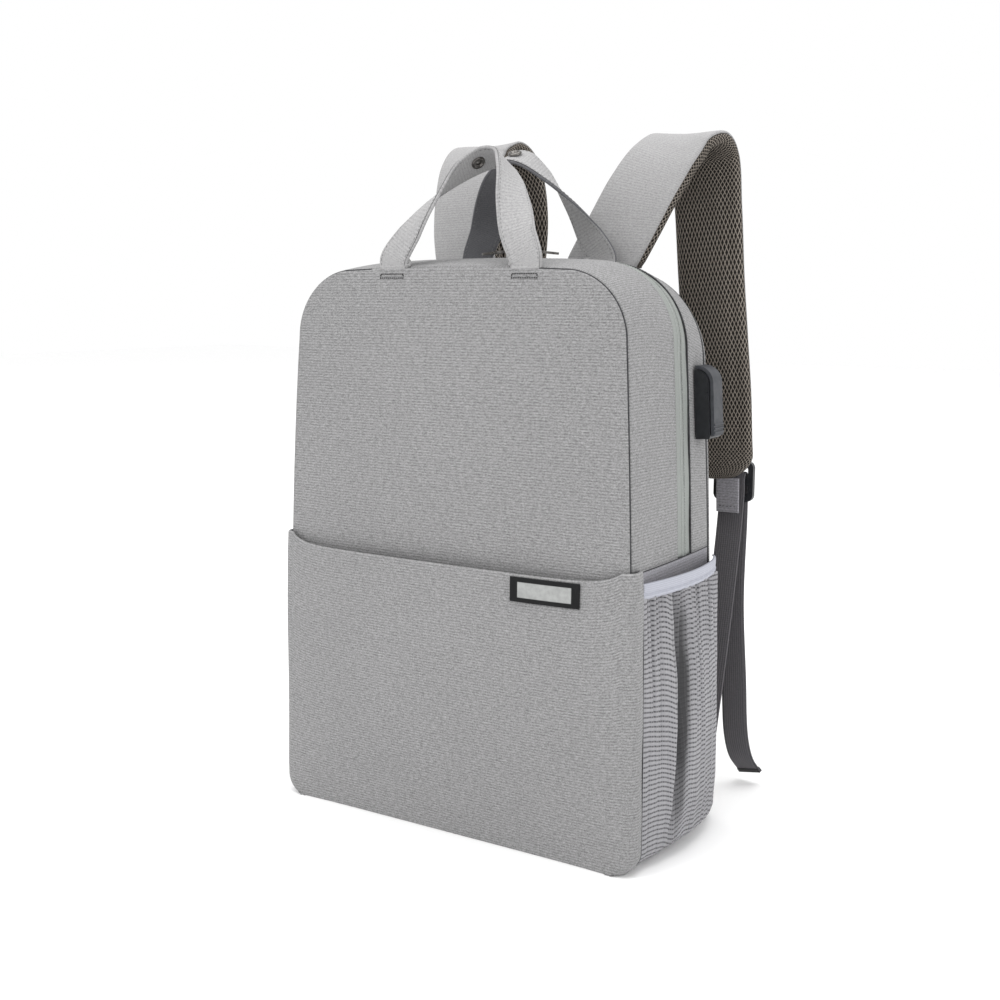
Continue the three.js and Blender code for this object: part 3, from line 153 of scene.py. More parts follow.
@dataclass(frozen=True)
class BagForm:
    """The bag's body in millimetres: a soft arch between a front seam and a rear seam."""

    base_half_front: float = 142.0
    base_half_rear: float = 141.0
    top_half_front: float = 131.5
    top_half_rear: float = 132.0
    seam_height: float = 389.0
    top_crown: float = 2.0
    crest_rise: float = 7.0
    front_depth: float = 66.0
    rear_depth: float = 62.0
    front_lean: float = 6.0
    rear_lean: float = 4.0
    base_radius: float = 14.0
    corner_front: float = 46.0
    corner_rear: float = 64.0
    gusset_bulge: float = 2.0
    front_crown: float = 4.0
    back_crown: float = 4.0
    back_pad: float = 8.0
    side_seam: float = 199.0
    gap: float = 0.3
    corner_gap: float = 1.0
    mark_step: float = 3.0

    def front_y(self, z: float) -> float:
        """Returns the depth of the front seam at a height."""
        return -self.front_depth + self.front_lean * clamp(z / self.seam_height) ** 3

    def rear_y(self, z: float) -> float:
        """Returns the depth of the rear seam at a height."""
        return self.rear_depth - self.rear_lean * clamp(z / self.seam_height) ** 3

    def share(self, y: float, z: float) -> float:
        """Returns the place of a depth between the front seam, 0, and the rear seam, 1."""
        return clamp((y - self.front_y(z)) / (self.rear_y(z) - self.front_y(z)))

    def radius(self, share: float) -> float:
        """Returns the top corner's radius at a share of the depth."""
        return lerp(self.corner_front, self.corner_rear, share)

    def top(self, share: float) -> float:
        """Returns the height where the top meets its corners at a share of the depth."""
        return self.seam_height + self.crest_rise * math.sin(math.pi * clamp(share)) ** 0.8

    def corner_start(self, share: float) -> float:
        """Returns the height where the top corner begins at a share of the depth."""
        return self.top(share) - self.radius(share)

    def half_width(self, z: float, share: float) -> float:
        """Returns half of the body's width at a height and a share of the depth."""
        base = lerp(self.base_half_front, self.base_half_rear, share)
        top = lerp(self.top_half_front, self.top_half_rear, share)
        bulge = self.gusset_bulge * 4 * share * (1 - share)
        return base - (base - top) * clamp(z / self.corner_start(share)) ** 2.2 + bulge

    def outline(self, place: float, share: float) -> tuple[float, float]:
        """Finds a point of half the outline, seen from the front.

        Args:
            place: The leg of the outline plus a share of it. The legs are the base, its corner, the side
                below the side seam, the side above it, the top corner and the top.
            share: The share of the depth, from the front seam to the rear seam.

        Returns:
            The distance from the middle and the height.
        """
        leg = min(int(place), 5)
        t = place - leg
        low = self.half_width(self.base_radius, share)
        corner = self.radius(share)
        upper = self.half_width(self.corner_start(share), share)
        if leg == 0:
            return t * (low - self.base_radius), 0.0
        if leg == 1:
            angle = t * math.pi / 2
            across = low - self.base_radius + self.base_radius * math.sin(angle)
            return across, self.base_radius * (1 - math.cos(angle))
        if leg in (2, 3):
            low_end = self.base_radius if leg == 2 else self.side_seam
            high_end = self.side_seam if leg == 2 else self.corner_start(share)
            z = lerp(low_end, high_end, t)
            return self.half_width(z, share), z
        if leg == 4:
            angle = t * math.pi / 2
            across = upper - corner + corner * math.cos(angle)
            return across, self.corner_start(share) + corner * math.sin(angle)
        return (upper - corner) * (1 - t), self.top(share) + self.top_crown * (1 - (1 - t) ** 2)

    def leg_lengths(self) -> list[float]:
        """Returns the length of each leg of the outline, halfway between the seams."""
        low = self.half_width(self.base_radius, 0.5)
        corner = self.radius(0.5)
        upper = self.half_width(self.corner_start(0.5), 0.5)
        return [
            low - self.base_radius,
            self.base_radius * math.pi / 2,
            self.side_seam - self.base_radius,
            self.corner_start(0.5) - self.side_seam,
            corner * math.pi / 2,
            upper - corner,
        ]

    def place_at(self, distance: float) -> float:
        """Returns the outline's place at a distance along it from the middle of the base."""
        rest = distance
        for leg, length in enumerate(self.leg_lengths()):
            if rest <= length or leg == 5:
                return leg + clamp(rest / length)
            rest -= length
        return 6.0

    def distance_of(self, leg: int) -> float:
        """Returns the distance along the outline from the middle of the base to the start of a leg."""
        return sum(self.leg_lengths()[:leg])

    def gusset_point(self, place: float, sign: float, y: float, inset: float) -> Vector:
        """Finds a point of the gusset.

        Args:
            place: The place on the outline.
            sign: The side, 1 or -1.
            y: The depth.
            inset: How far the point lies inside the gusset's face.

        Returns:
            The point in millimetres.
        """
        share = self.share(y, self.outline(place, 0.5)[1])
        step = 0.01
        x0, z0 = self.outline(max(place - step, 0), share)
        x1, z1 = self.outline(min(place + step, 6), share)
        x, z = self.outline(place, share)
        length = math.hypot(x1 - x0, z1 - z0)
        return Vector((sign * (x - (z1 - z0) / length * inset), y, z - (x0 - x1) / length * inset))

    def gusset_mark(self, place: float, sign: float, y: float, inset: float) -> tuple[Vector, Vector]:
        """Returns a point of the gusset, as gusset_point does, and the direction out of its cloth."""
        point = self.gusset_point(place, sign, y, inset)
        return point, point - self.gusset_point(place, sign, y, inset + self.mark_step)

    def crown(self, x: float, z: float, share: float) -> float:
        """Returns how far a panel's face stands out at a point, as a share of its crown."""
        across = clamp(abs(x) / self.half_width(z, share))
        up = clamp(abs(z / self.top(share) - 0.5) * 2)
        return (1 - across**4) * (1 - up**4)

    def front_face(self, x: float, z: float) -> float:
        """Returns the depth of the front panel's face at a point."""
        return self.front_y(z) - self.front_crown * self.crown(x, z, 0)

    def back_face(self, x: float, z: float) -> float:
        """Returns the depth of the back panel's face at a point."""
        return self.rear_y(z) + self.back_crown * self.crown(x, z, 1)

    def panel_row(self, up: float, share: float) -> tuple[float, float]:
        """Finds the half width and height of a row of a panel.

        Args:
            up: The row's place along the panel's edge, from the base, 0, to the top, 1.
            share: 0 for the front panel and 1 for the back panel.

        Returns:
            The half width and the height in millimetres.
        """
        first = self.distance_of(1)
        last = self.distance_of(5)
        return self.outline(self.place_at(lerp(first, last, up)), share)

    def tuck(self, z: float) -> float:
        """Returns how far the side lies inside its half width where the base corner turns under."""
        below = 1 - clamp(z / self.base_radius)
        return self.base_radius * (1 - math.sqrt(max(0.0, 1 - below * below)))


BAG = BagForm()


class Curve:
    """A smooth curve through points, with a strap's width and face direction along it."""

    def __init__(
        self, points: Sequence[Vector], widths: Sequence[Vector], levels: Sequence[float] = ()
    ) -> None:
        """Keeps the curve's points.

        Args:
            points: The points that the curve passes through, in millimetres.
            widths: The direction of the strap's width at each point.
            levels: How far the strap's end is cut along its width rather than square, at each point.
        """
        self.points = list(points)
        self.widths = list(widths)
        self.levels = list(levels) or [0.0] * len(self.points)
        self.known: dict[float, tuple[Vector, Vector, Vector, Vector]] = {}

    def point(self, share: float) -> Vector:
        """Returns the point at a share of the curve's points, on a centripetal curve through them."""
        last = len(self.points) - 1
        at = clamp(share) * last
        low = min(int(at), last - 1)
        t = at - low
        p1, p2 = self.points[low], self.points[low + 1]
        p0 = self.points[low - 1] if low > 0 else p1 * 2 - p2
        p3 = self.points[low + 2] if low + 2 <= last else p2 * 2 - p1
        d0, d1, d2 = ((b - a).length ** 0.5 for a, b in ((p0, p1), (p1, p2), (p2, p3)))
        in_slope = ((p1 - p0) / d0 - (p2 - p0) / (d0 + d1) + (p2 - p1) / d1) * d1
        out_slope = ((p2 - p1) / d1 - (p3 - p1) / (d1 + d2) + (p3 - p2) / d2) * d1
        second = p1 * -3 + p2 * 3 - in_slope * 2 - out_slope
        third = p1 * 2 - p2 * 2 + in_slope + out_slope
        return p1 + in_slope * t + second * t * t + third * t**3

    def frame(self, share: float) -> tuple[Vector, Vector, Vector, Vector]:
        """Finds how the strap lies at a share of the curve.

        Args:
            share: The share of the curve's points, from 0 to 1.

        Returns:
            The centre, the width direction, the face direction and the direction along the curve.
        """
        key = round(share, 5)
        if key not in self.known:
            centre = self.point(share)
            step = 0.0001
            along = (self.point(min(share + step, 1)) - self.point(max(share - step, 0))).normalized()
            at = clamp(share) * (len(self.widths) - 1)
            low = min(int(at), len(self.widths) - 2)
            width = self.widths[low].lerp(self.widths[low + 1], at - low)
            level = lerp(self.levels[low], self.levels[low + 1], at - low)
            slant = width.dot(along)
            width = (width - along * slant * (1 - level)).normalized()
            face = width.cross(along).normalized()
            self.known[key] = (centre, width / math.sqrt(1 - (slant * level) ** 2), face, along)
        return self.known[key]

    def lay(self, share: float, across: float, out: float) -> Vector:
        """Returns a point beside the curve: across its width and out of its face, in millimetres."""
        centre, width, face, _ = self.frame(share)
        return centre + width * across + face * out

    def length(self, steps: int = 200) -> float:
        """Returns the curve's length in millimetres."""
        points = [self.point(i / steps) for i in range(steps + 1)]
        return sum((b - a).length for a, b in zip(points, points[1:]))


class Graph:
    """A shader node tree with short calls that add its nodes and link them."""

    def __init__(self, tree: bpy.types.NodeTree) -> None:
        """Keeps the tree that the nodes go into."""
        self.tree = tree

    def add(self, kind: str, inputs: dict | None = None, **settings: object) -> bpy.types.Node:
        """Adds a node.

        Args:
            kind: The node's Blender type.
            inputs: Values or sockets for its inputs, by name or by number.
            **settings: Properties of the node.

        Returns:
            The new node.
        """
        node = self.tree.nodes.new(kind)
        for key, value in settings.items():
            setattr(node, key, value)
        self.fill(node, inputs or {})
        return node

    def fill(self, node: bpy.types.Node, inputs: dict) -> None:
        """Sets a node's inputs, or links them where they are given a socket.

        Args:
            node: The node.
            inputs: Values or sockets, by name or by number.
        """
        for key, value in inputs.items():
            if isinstance(value, Socket):
                self.tree.links.new(value, node.inputs[key])
            else:
                node.inputs[key].default_value = value

    def math(self, operation: str, *values: object) -> Socket:
        """Returns the result of a Math node on up to three numbers or sockets."""
        return self.add("ShaderNodeMath", dict(enumerate(values)), operation=operation).outputs[0]

    def times(self, *values: object) -> Socket:
        """Returns the product of two numbers or sockets."""
        return self.math("MULTIPLY", *values)

    def over(self, *values: object) -> Socket:
        """Returns the first of two numbers or sockets divided by the second."""
        return self.math("DIVIDE", *values)

    def waves(self, value: object) -> Socket:
        """Returns straight waves between 0 and 1 with a length of 1."""
        return self.times(self.math("PINGPONG", value, 0.5), 2.0)

    def stretch(self, vector: Socket, size: tuple[float, float, float]) -> Socket:
        """Returns a vector multiplied by a size on each axis."""
        return self.add("ShaderNodeVectorMath", {0: vector, 1: size}, operation="MULTIPLY").outputs[0]

    def noise(self, vector: Socket, scale: object, detail: float = 2.0) -> Socket:
        """Returns the value of a Noise node, about 0.5 on average."""
        inputs = {"Vector": vector, "Scale": scale, "Detail": detail}
        return self.add("ShaderNodeTexNoise", inputs).outputs[0]

    def ranged(self, value: object, low: object, high: object, start: float, end: float) -> Socket:
        """Returns a value taken smoothly from the range low to high to the range start to end."""
        inputs = {0: value, 1: low, 2: high, 3: start, 4: end}
        return self.add("ShaderNodeMapRange", inputs, interpolation_type="SMOOTHSTEP").outputs[0]

    def mixed(self, share: object, first: object, second: object) -> Socket:
        """Returns a colour between two colours at a share."""
        node = self.add("ShaderNodeMix", {0: share, 6: first, 7: second}, data_type="RGBA")
        return node.outputs[2]

    def split(self, vector: Socket) -> Pair:
        """Returns the X and Y of a vector."""
        node = self.add("ShaderNodeSeparateXYZ", {0: vector})
        return node.outputs[0], node.outputs[1]

    def cloth_map(self) -> Socket:
        """Returns the piece's own map, which holds each point's place on the flat cloth in metres."""
        return self.add("ShaderNodeUVMap", uv_map=CLOTH_MAP).outputs[0]

    def object_place(self) -> Socket:
        """Returns Object coordinates, in metres."""
        return self.add("ShaderNodeTexCoord").outputs["Object"]


class Effect(Enum):
    """The shader effects that several finishes share. Each is one node group."""

    SLUB_WEAVE = "Slub weave"
    DIAMOND_MESH = "Diamond mesh"
    RIB_KNIT = "Rib knit"
    RIBBED_TAPE = "Ribbed tape"
    HANDLING = "Handling marks"


@dataclass
class EffectLibrary:
    """Builds each shared effect once and places it in a material."""

    built: dict[Effect, bpy.types.NodeTree] = field(default_factory=dict)

    def use(self, graph: Graph, effect: Effect, inputs: dict) -> Pair:
        """Places an effect in a material.

        Args:
            graph: The material's graph.
            effect: The effect.
            inputs: Its values or sockets by name.

        Returns:
            The effect's shade and height.
        """
        if effect not in self.built:
            self.built[effect] = self.build(effect)
        node = graph.add("ShaderNodeGroup", inputs, node_tree=self.built[effect])
        return node.outputs["Shade"], node.outputs["Height"]

    def build(self, effect: Effect) -> bpy.types.NodeTree:
        """Builds an effect's node group.

        Args:
            effect: The effect.

        Returns:
            The node group.
        """
        makers = {
            Effect.SLUB_WEAVE: (self.slub_weave, ("Thread", "Slub Length")),
            Effect.DIAMOND_MESH: (self.diamond_mesh, ("Cell Width", "Cell Height", "Thread Share")),
            Effect.RIB_KNIT: (self.rib_knit, ("Row", "Loop")),
            Effect.RIBBED_TAPE: (self.ribbed_tape, ("Rib", "Pick")),
            Effect.HANDLING: (self.handling, ("Patch Size",)),
        }
        maker, numbers = makers[effect]
        tree = bpy.data.node_groups.new(effect.value, "ShaderNodeTree")
        tree.interface.new_socket(name="Vector", in_out="INPUT", socket_type="NodeSocketVector")
        for name in numbers:
            tree.interface.new_socket(name=name, in_out="INPUT", socket_type="NodeSocketFloat")
        for name in ("Shade", "Height"):
            tree.interface.new_socket(name=name, in_out="OUTPUT", socket_type="NodeSocketFloat")
        graph = Graph(tree)
        given = graph.add("NodeGroupInput").outputs
        shade, height = maker(graph, given)
        graph.add("NodeGroupOutput", {"Shade": shade, "Height": height})
        return tree

    def slub_weave(self, graph: Graph, given: object) -> Pair:
        """Makes a plain weave whose cross threads are uneven and run thick and thin along X.

        Args:
            graph: The group's graph.
            given: The group's inputs: the cloth's place, the thread's pitch and the slubs' length, in metres.

        Returns:
            The thread's shade, about 0.5, and the height.
        """
        across, along = graph.split(given["Vector"])
        rows = graph.over(along, given["Thread"])
        columns = graph.over(across, given["Thread"])
        slubs = graph.add("ShaderNodeCombineXYZ", {0: graph.over(across, given["Slub Length"]), 1: rows})
        long_slubs = graph.noise(slubs.outputs[0], 0.85, 3.0)
        fine = graph.add("ShaderNodeCombineXYZ", {0: graph.times(columns, 0.8), 1: rows, 2: 7.3})
        flecks = graph.noise(fine.outputs[0], 1.0, 3.0)
        courses = graph.waves(graph.times(rows, 0.42))
        warp = graph.math("SINE", graph.times(columns, 2 * math.pi))
        weft = graph.math("SINE", graph.times(rows, 2 * math.pi))
        woven = graph.math("MULTIPLY_ADD", graph.times(warp, weft), 0.5, 0.5)
        streaks = graph.ranged(long_slubs, 0.3, 0.7, 0.0, 1.0)
        speck = graph.ranged(flecks, 0.28, 0.72, 0.0, 1.0)
        mottle = graph.math("MULTIPLY_ADD", streaks, 0.25, graph.times(speck, 0.45))
        shade = graph.math("MULTIPLY_ADD", courses, 0.3, mottle)
        height = graph.math("MULTIPLY_ADD", woven, 0.45, graph.times(shade, 0.55))
        return shade, height

    def diamond_mesh(self, graph: Graph, given: object) -> Pair:
        """Makes an open net of diamond holes.

        Args:
            graph: The group's graph.
            given: The group's inputs: the cloth's place, a cell's width and height and the thread's share.

        Returns:
            1 on the threads and 0 in the holes, and the height.
        """
        across, along = graph.split(given["Vector"])
        x = graph.over(across, given["Cell Width"])
        y = graph.over(along, given["Cell Height"])
        rise = graph.math("PINGPONG", graph.math("ADD", x, y), 0.5)
        fall = graph.math("PINGPONG", graph.math("SUBTRACT", x, y), 0.5)
        nearest = graph.math("SMOOTH_MIN", rise, fall, 0.12)
        inner = graph.times(given["Thread Share"], 1.7)
        thread = graph.ranged(nearest, given["Thread Share"], inner, 1.0, 0.0)
        height = graph.ranged(nearest, 0.0, inner, 1.0, 0.0)
        return thread, height

    def rib_knit(self, graph: Graph, given: object) -> Pair:
        """Makes rows of knitted loops with a dark groove between rows.

        Args:
            graph: The group's graph.
            given: The group's inputs: the cloth's place, a row's height and a loop's width, in metres.

        Returns:
            The shade, 0 in the grooves, and the height.
        """
        across, along = graph.split(given["Vector"])
        drift = graph.noise(graph.stretch(given["Vector"], (60.0, 25.0, 1.0)), 1.0, 2.0)
        row = graph.math("ADD", graph.over(along, given["Row"]), graph.times(drift, 0.8))
        ripple = graph.waves(graph.over(across, given["Loop"]))
        groove = graph.ranged(graph.waves(row), 0.1, 0.55, 0.0, 1.0)
        loops = graph.times(graph.ranged(ripple, 0.15, 0.75, 0.0, 1.0), 0.5)
        shade = graph.math("MULTIPLY_ADD", graph.math("SUBTRACT", 1.0, groove), loops, groove)
        height = graph.math("MULTIPLY_ADD", ripple, 0.2, graph.times(groove, 0.8))
        return shade, height

    def ribbed_tape(self, graph: Graph, given: object) -> Pair:
        """Makes a tight tape with lengthwise ribs crossed by fine picks.

        Args:
            graph: The group's graph.
            given: The group's inputs: the cloth's place, a rib's pitch and a pick's pitch, in metres.

        Returns:
            The shade and the height.
        """
        across, along = graph.split(given["Vector"])
        rib = graph.math("PINGPONG", graph.over(across, given["Rib"]), 0.5)
        pick = graph.math("PINGPONG", graph.over(along, given["Pick"]), 0.5)
        ribs = graph.ranged(rib, 0.05, 0.4, 0.0, 1.0)
        picks = graph.ranged(pick, 0.05, 0.45, 0.0, 1.0)
        mottle = graph.noise(graph.stretch(given["Vector"], (900.0, 900.0, 1.0)), 1.0, 2.0)
        shade = graph.math("ADD", graph.times(ribs, 0.45), graph.times(mottle, 0.55))
        height = graph.math("MULTIPLY_ADD", picks, 0.35, graph.times(ribs, 0.65))
        return shade, height

    def handling(self, graph: Graph, given: object) -> Pair:
        """Makes broad faint patches, as use and light soiling leave them.

        Args:
            graph: The group's graph.
            given: The group's inputs: the place and the size of a patch, in metres.

        Returns:
            The patches' shade, about 0.5, and a finer unevenness.
        """
        size = graph.over(1.0, given["Patch Size"])
        broad = graph.noise(given["Vector"], size, 3.0)
        fine = graph.noise(given["Vector"], graph.times(size, 14.0), 4.0)
        return graph.ranged(broad, 0.25, 0.75, 0.0, 1.0), fine


EFFECTS = EffectLibrary()
Colour = tuple[float, float, float]


def opaque(colour: Colour, level: float = 1.0) -> tuple[float, float, float, float]:
    """Returns a colour at a level of brightness, with full alpha."""
    return (*(channel * level for channel in colour), 1.0)


def handled(graph: Graph, size: float) -> Pair:
    """Returns the shade and the unevenness of handling marks of a size in metres."""
    return EFFECTS.use(graph, Effect.HANDLING, {"Vector": graph.object_place(), "Patch Size": size})


@dataclass(frozen=True)
class Finish:
    """A material: its name, its two colours and how it takes light."""

    name: str
    dark: Colour
    light: Colour
    roughness: float = 0.85
    sheen: float = 0.0
    metallic: float = 0.0
    soiling: float = 0.06
    bump: float = 0.25
    depth: float = 0.3
    specular: float = 0.3

    def pattern(self, graph: Graph) -> Pair:
        """Returns the finish's own shade and height: a plain finish has only fine unevenness."""
        return handled(graph, 0.004)

    def tint(self, graph: Graph, colour: object) -> object:
        """Returns the colour with the finish's own marks on it. A plain finish has none."""
        return colour

    def material(self) -> bpy.types.Material:
        """Builds the material, or finds it where it has been built.

        Returns:
            The material.
        """
        found = bpy.data.materials.get(self.name)
        if found:
            return found
        made = bpy.data.materials.new(self.name)
        made.use_nodes = True
        graph = Graph(made.node_tree)
        shader = made.node_tree.nodes["Principled BSDF"]
        shade, height = self.pattern(graph)
        colour = self.tint(graph, graph.mixed(shade, opaque(self.dark), opaque(self.light)))
        soiled, wear = handled(graph, 0.11)
        worn = graph.times(soiled, self.soiling)
        relief = {"Strength": self.bump, "Distance": self.depth * MM, "Height": height}
        inputs = {
            "Base Color": graph.mixed(worn, colour, opaque(self.dark, 0.55)),
            "Roughness": graph.ranged(wear, 0.2, 0.8, self.roughness - 0.06, self.roughness + 0.06),
            "Normal": graph.add("ShaderNodeBump", relief).outputs[0],
            "Metallic": self.metallic,
            "Specular IOR Level": self.specular,
            "Sheen Weight": self.sheen,
            "Sheen Roughness": 0.5,
        }
        graph.fill(shader, inputs)
        return made


@dataclass(frozen=True)
class WovenFinish(Finish):
    """Woven cloth with slubs along its width: thread pitch and slub length in millimetres."""

    thread: float = 0.8
    slub: float = 3.2

    def pattern(self, graph: Graph) -> Pair:
        """Returns the weave's shade and height on the piece's own map."""
        inputs = {"Vector": graph.cloth_map(), "Thread": self.thread * MM, "Slub Length": self.slub * MM}
        return EFFECTS.use(graph, Effect.SLUB_WEAVE, inputs)


@dataclass(frozen=True)
class NetFinish(Finish):
    """Spacer mesh with diamond holes: a cell's size in millimetres and the thread's share of it."""

    cell: tuple[float, float] = (3.0, 4.1)
    thread_share: float = 0.09

    def pattern(self, graph: Graph) -> Pair:
        """Returns the net's threads and height on the piece's own map."""
        width, height = self.cell
        inputs = {
            "Vector": graph.cloth_map(),
            "Cell Width": width * MM,
            "Cell Height": height * MM,
            "Thread Share": self.thread_share,
        }
        return EFFECTS.use(graph, Effect.DIAMOND_MESH, inputs)


@dataclass(frozen=True)
class KnitFinish(Finish):
    """Ribbed stretch knit: a row's height and a loop's width in millimetres, and its brightness under the
    painted shade of a deep fold.
    """

    row: float = 3.3
    loop: float = 1.5
    # Brightness of the painted shade in the deep fold, as a share of the light colour.
    deep: float = 0.16

    def pattern(self, graph: Graph) -> Pair:
        """Returns the rows' shade and height on the piece's own map."""
        inputs = {"Vector": graph.cloth_map(), "Row": self.row * MM, "Loop": self.loop * MM}
        return EFFECTS.use(graph, Effect.RIB_KNIT, inputs)

    def tint(self, graph: Graph, colour: object) -> object:
        """Returns the colour with painted shade where the knit lies in a fold and between its pleats."""
        folded = graph.add("ShaderNodeAttribute", attribute_name=PAINTED_SHADE_VALUE).outputs["Fac"]
        return graph.mixed(folded, colour, opaque(self.light, self.deep))


@dataclass(frozen=True)
class TapeFinish(Finish):
    """Webbing, elastic or zip tape: the pitch of its ribs and picks in millimetres."""

    rib: float = 1.7
    pick: float = 0.9

    def pattern(self, graph: Graph) -> Pair:
        """Returns the ribs' shade and height on the piece's own map."""
        inputs = {"Vector": graph.cloth_map(), "Rib": self.rib * MM, "Pick": self.pick * MM}
        return EFFECTS.use(graph, Effect.RIBBED_TAPE, inputs)


@dataclass(frozen=True)
class PatchFinish(TapeFinish):
    """The woven patch: black, with a bare pale field of a given size in millimetres about its centre."""

    pale: Colour = (0.5, 0.5, 0.5)
    field_size: tuple[float, float] = (38.5, 10.2)

    def tint(self, graph: Graph, colour: object) -> object:
        """Returns the colour with the pale field set into it."""
        across, up = graph.split(graph.cloth_map())
        width, height = (side / 2 * MM for side in self.field_size)
        soft = 0.25 * MM
        inside_x = graph.ranged(graph.math("ABSOLUTE", across), width - soft, width + soft, 1.0, 0.0)
        inside_y = graph.ranged(graph.math("ABSOLUTE", up), height - soft, height + soft, 1.0, 0.0)
        pale = graph.mixed(handled(graph, 0.003)[0], opaque(self.pale, 0.85), opaque(self.pale, 1.05))
        return graph.mixed(graph.times(inside_x, inside_y), colour, pale)


CANVAS = WovenFinish("canvas_grey", (0.105, 0.104, 0.106), (0.39, 0.388, 0.39), 0.9, sheen=0.08, bump=0.4)
STRAP_CANVAS = WovenFinish(
    "canvas_light", (0.24, 0.237, 0.239), (0.43, 0.426, 0.428), 0.9, sheen=0.1, bump=0.3, slub=1.6
)
LINING = WovenFinish(
    "lining_grey", (0.12, 0.117, 0.13), (0.33, 0.325, 0.35), 0.85, sheen=0.08, thread=0.8, slub=1.6, bump=0.2
)
HANDLE_LINING = WovenFinish(
    "handle_lining_dark",
    (0.07, 0.07, 0.076),
    (0.14, 0.14, 0.15),
    0.75,
    sheen=0.05,
    thread=0.5,
    slub=1.2,
    bump=0.15,
)
AIR_MESH = NetFinish("air_mesh_brown", (0.01, 0.008, 0.006), (0.37, 0.325, 0.28), 0.85, bump=0.9, depth=0.9)
KNIT = KnitFinish(
    "knit_grey", (0.06, 0.059, 0.064), (0.33, 0.327, 0.342), 0.88, sheen=0.08, bump=0.8, depth=0.8
)
ELASTIC = TapeFinish(
    "elastic_pale", (0.32, 0.328, 0.375), (0.47, 0.48, 0.54), 0.6, rib=1.3, pick=0.8, bump=0.2
)
ZIP_TAPE = TapeFinish(
    "zip_tape_pale", (0.17, 0.182, 0.174), (0.37, 0.388, 0.37), 0.7, rib=1.1, pick=0.7, bump=0.3
)
WEBBING = TapeFinish("webbing_dark", (0.05, 0.048, 0.053), (0.13, 0.125, 0.134), 0.75, bump=0.5)
HEM = TapeFinish("webbing_hem_black", (0.008, 0.008, 0.009), (0.02, 0.02, 0.021), 0.6, bump=0.4)
PATCH = PatchFinish(
    "patch_black",
    (0.006, 0.006, 0.006),
    (0.016, 0.016, 0.017),
    0.6,
    rib=0.8,
    pick=0.8,
    specular=0.12,
    pale=(0.36, 0.366, 0.36),
)
PLASTIC = Finish(
    "plastic_black", (0.01, 0.011, 0.013), (0.017, 0.018, 0.021), 0.32, bump=0.1, depth=0.05, specular=0.45
)
RUBBER = Finish("rubber_grey", (0.04, 0.043, 0.049), (0.062, 0.065, 0.073), 0.5, bump=0.15, depth=0.05)
METAL = Finish("metal_nickel", (0.35, 0.35, 0.34), (0.5, 0.5, 0.49), 0.3, metallic=1.0, bump=0.08, depth=0.04)
DARK_METAL = Finish(
    "metal_dark", (0.09, 0.085, 0.08), (0.2, 0.19, 0.18), 0.3, metallic=1.0, bump=0.08, depth=0.04
)
THREAD = Finish("thread_grey", (0.13, 0.13, 0.13), (0.22, 0.22, 0.22), 0.7, bump=0.3, depth=0.1)
SEAM_THREAD = Finish("thread_seam", (0.02, 0.02, 0.022), (0.045, 0.045, 0.048), 0.8, bump=0.3, depth=0.1)
ZIP_COIL = Finish("zip_coil_grey", (0.16, 0.17, 0.163), (0.3, 0.315, 0.3), 0.5, bump=0.2, depth=0.1)
DARK_THREAD = Finish("thread_dark", (0.02, 0.02, 0.02), (0.05, 0.05, 0.05), 0.7, bump=0.3, depth=0.1)


def placed(name: str, data: bpy.types.ID) -> bpy.types.Object:
    """Puts a mesh, a camera or a light into the scene as an object."""
    made = bpy.data.objects.new(name, data)
    bpy.context.scene.collection.objects.link(made)
    return made


def finished_object(name: str, bm: bmesh.types.BMesh, finishes: Sequence[Finish]) -> bpy.types.Object:
    """Turns a bmesh in millimetres into an object in metres at the origin.

    Args:
        name: The object's name.
        bm: The mesh, which is freed.
        finishes: The finishes of its material slots.

    Returns:
        The new object.
    """
    bmesh.ops.scale(bm, vec=Vector((MM, MM, MM)), verts=bm.verts)
    mesh = bpy.data.meshes.new(name)
    for face in bm.faces:
        face.smooth = True
    bm.to_mesh(mesh)
    bm.free()
    for finish in finishes:
        mesh.materials.append(finish.material())
    return placed(name, mesh)


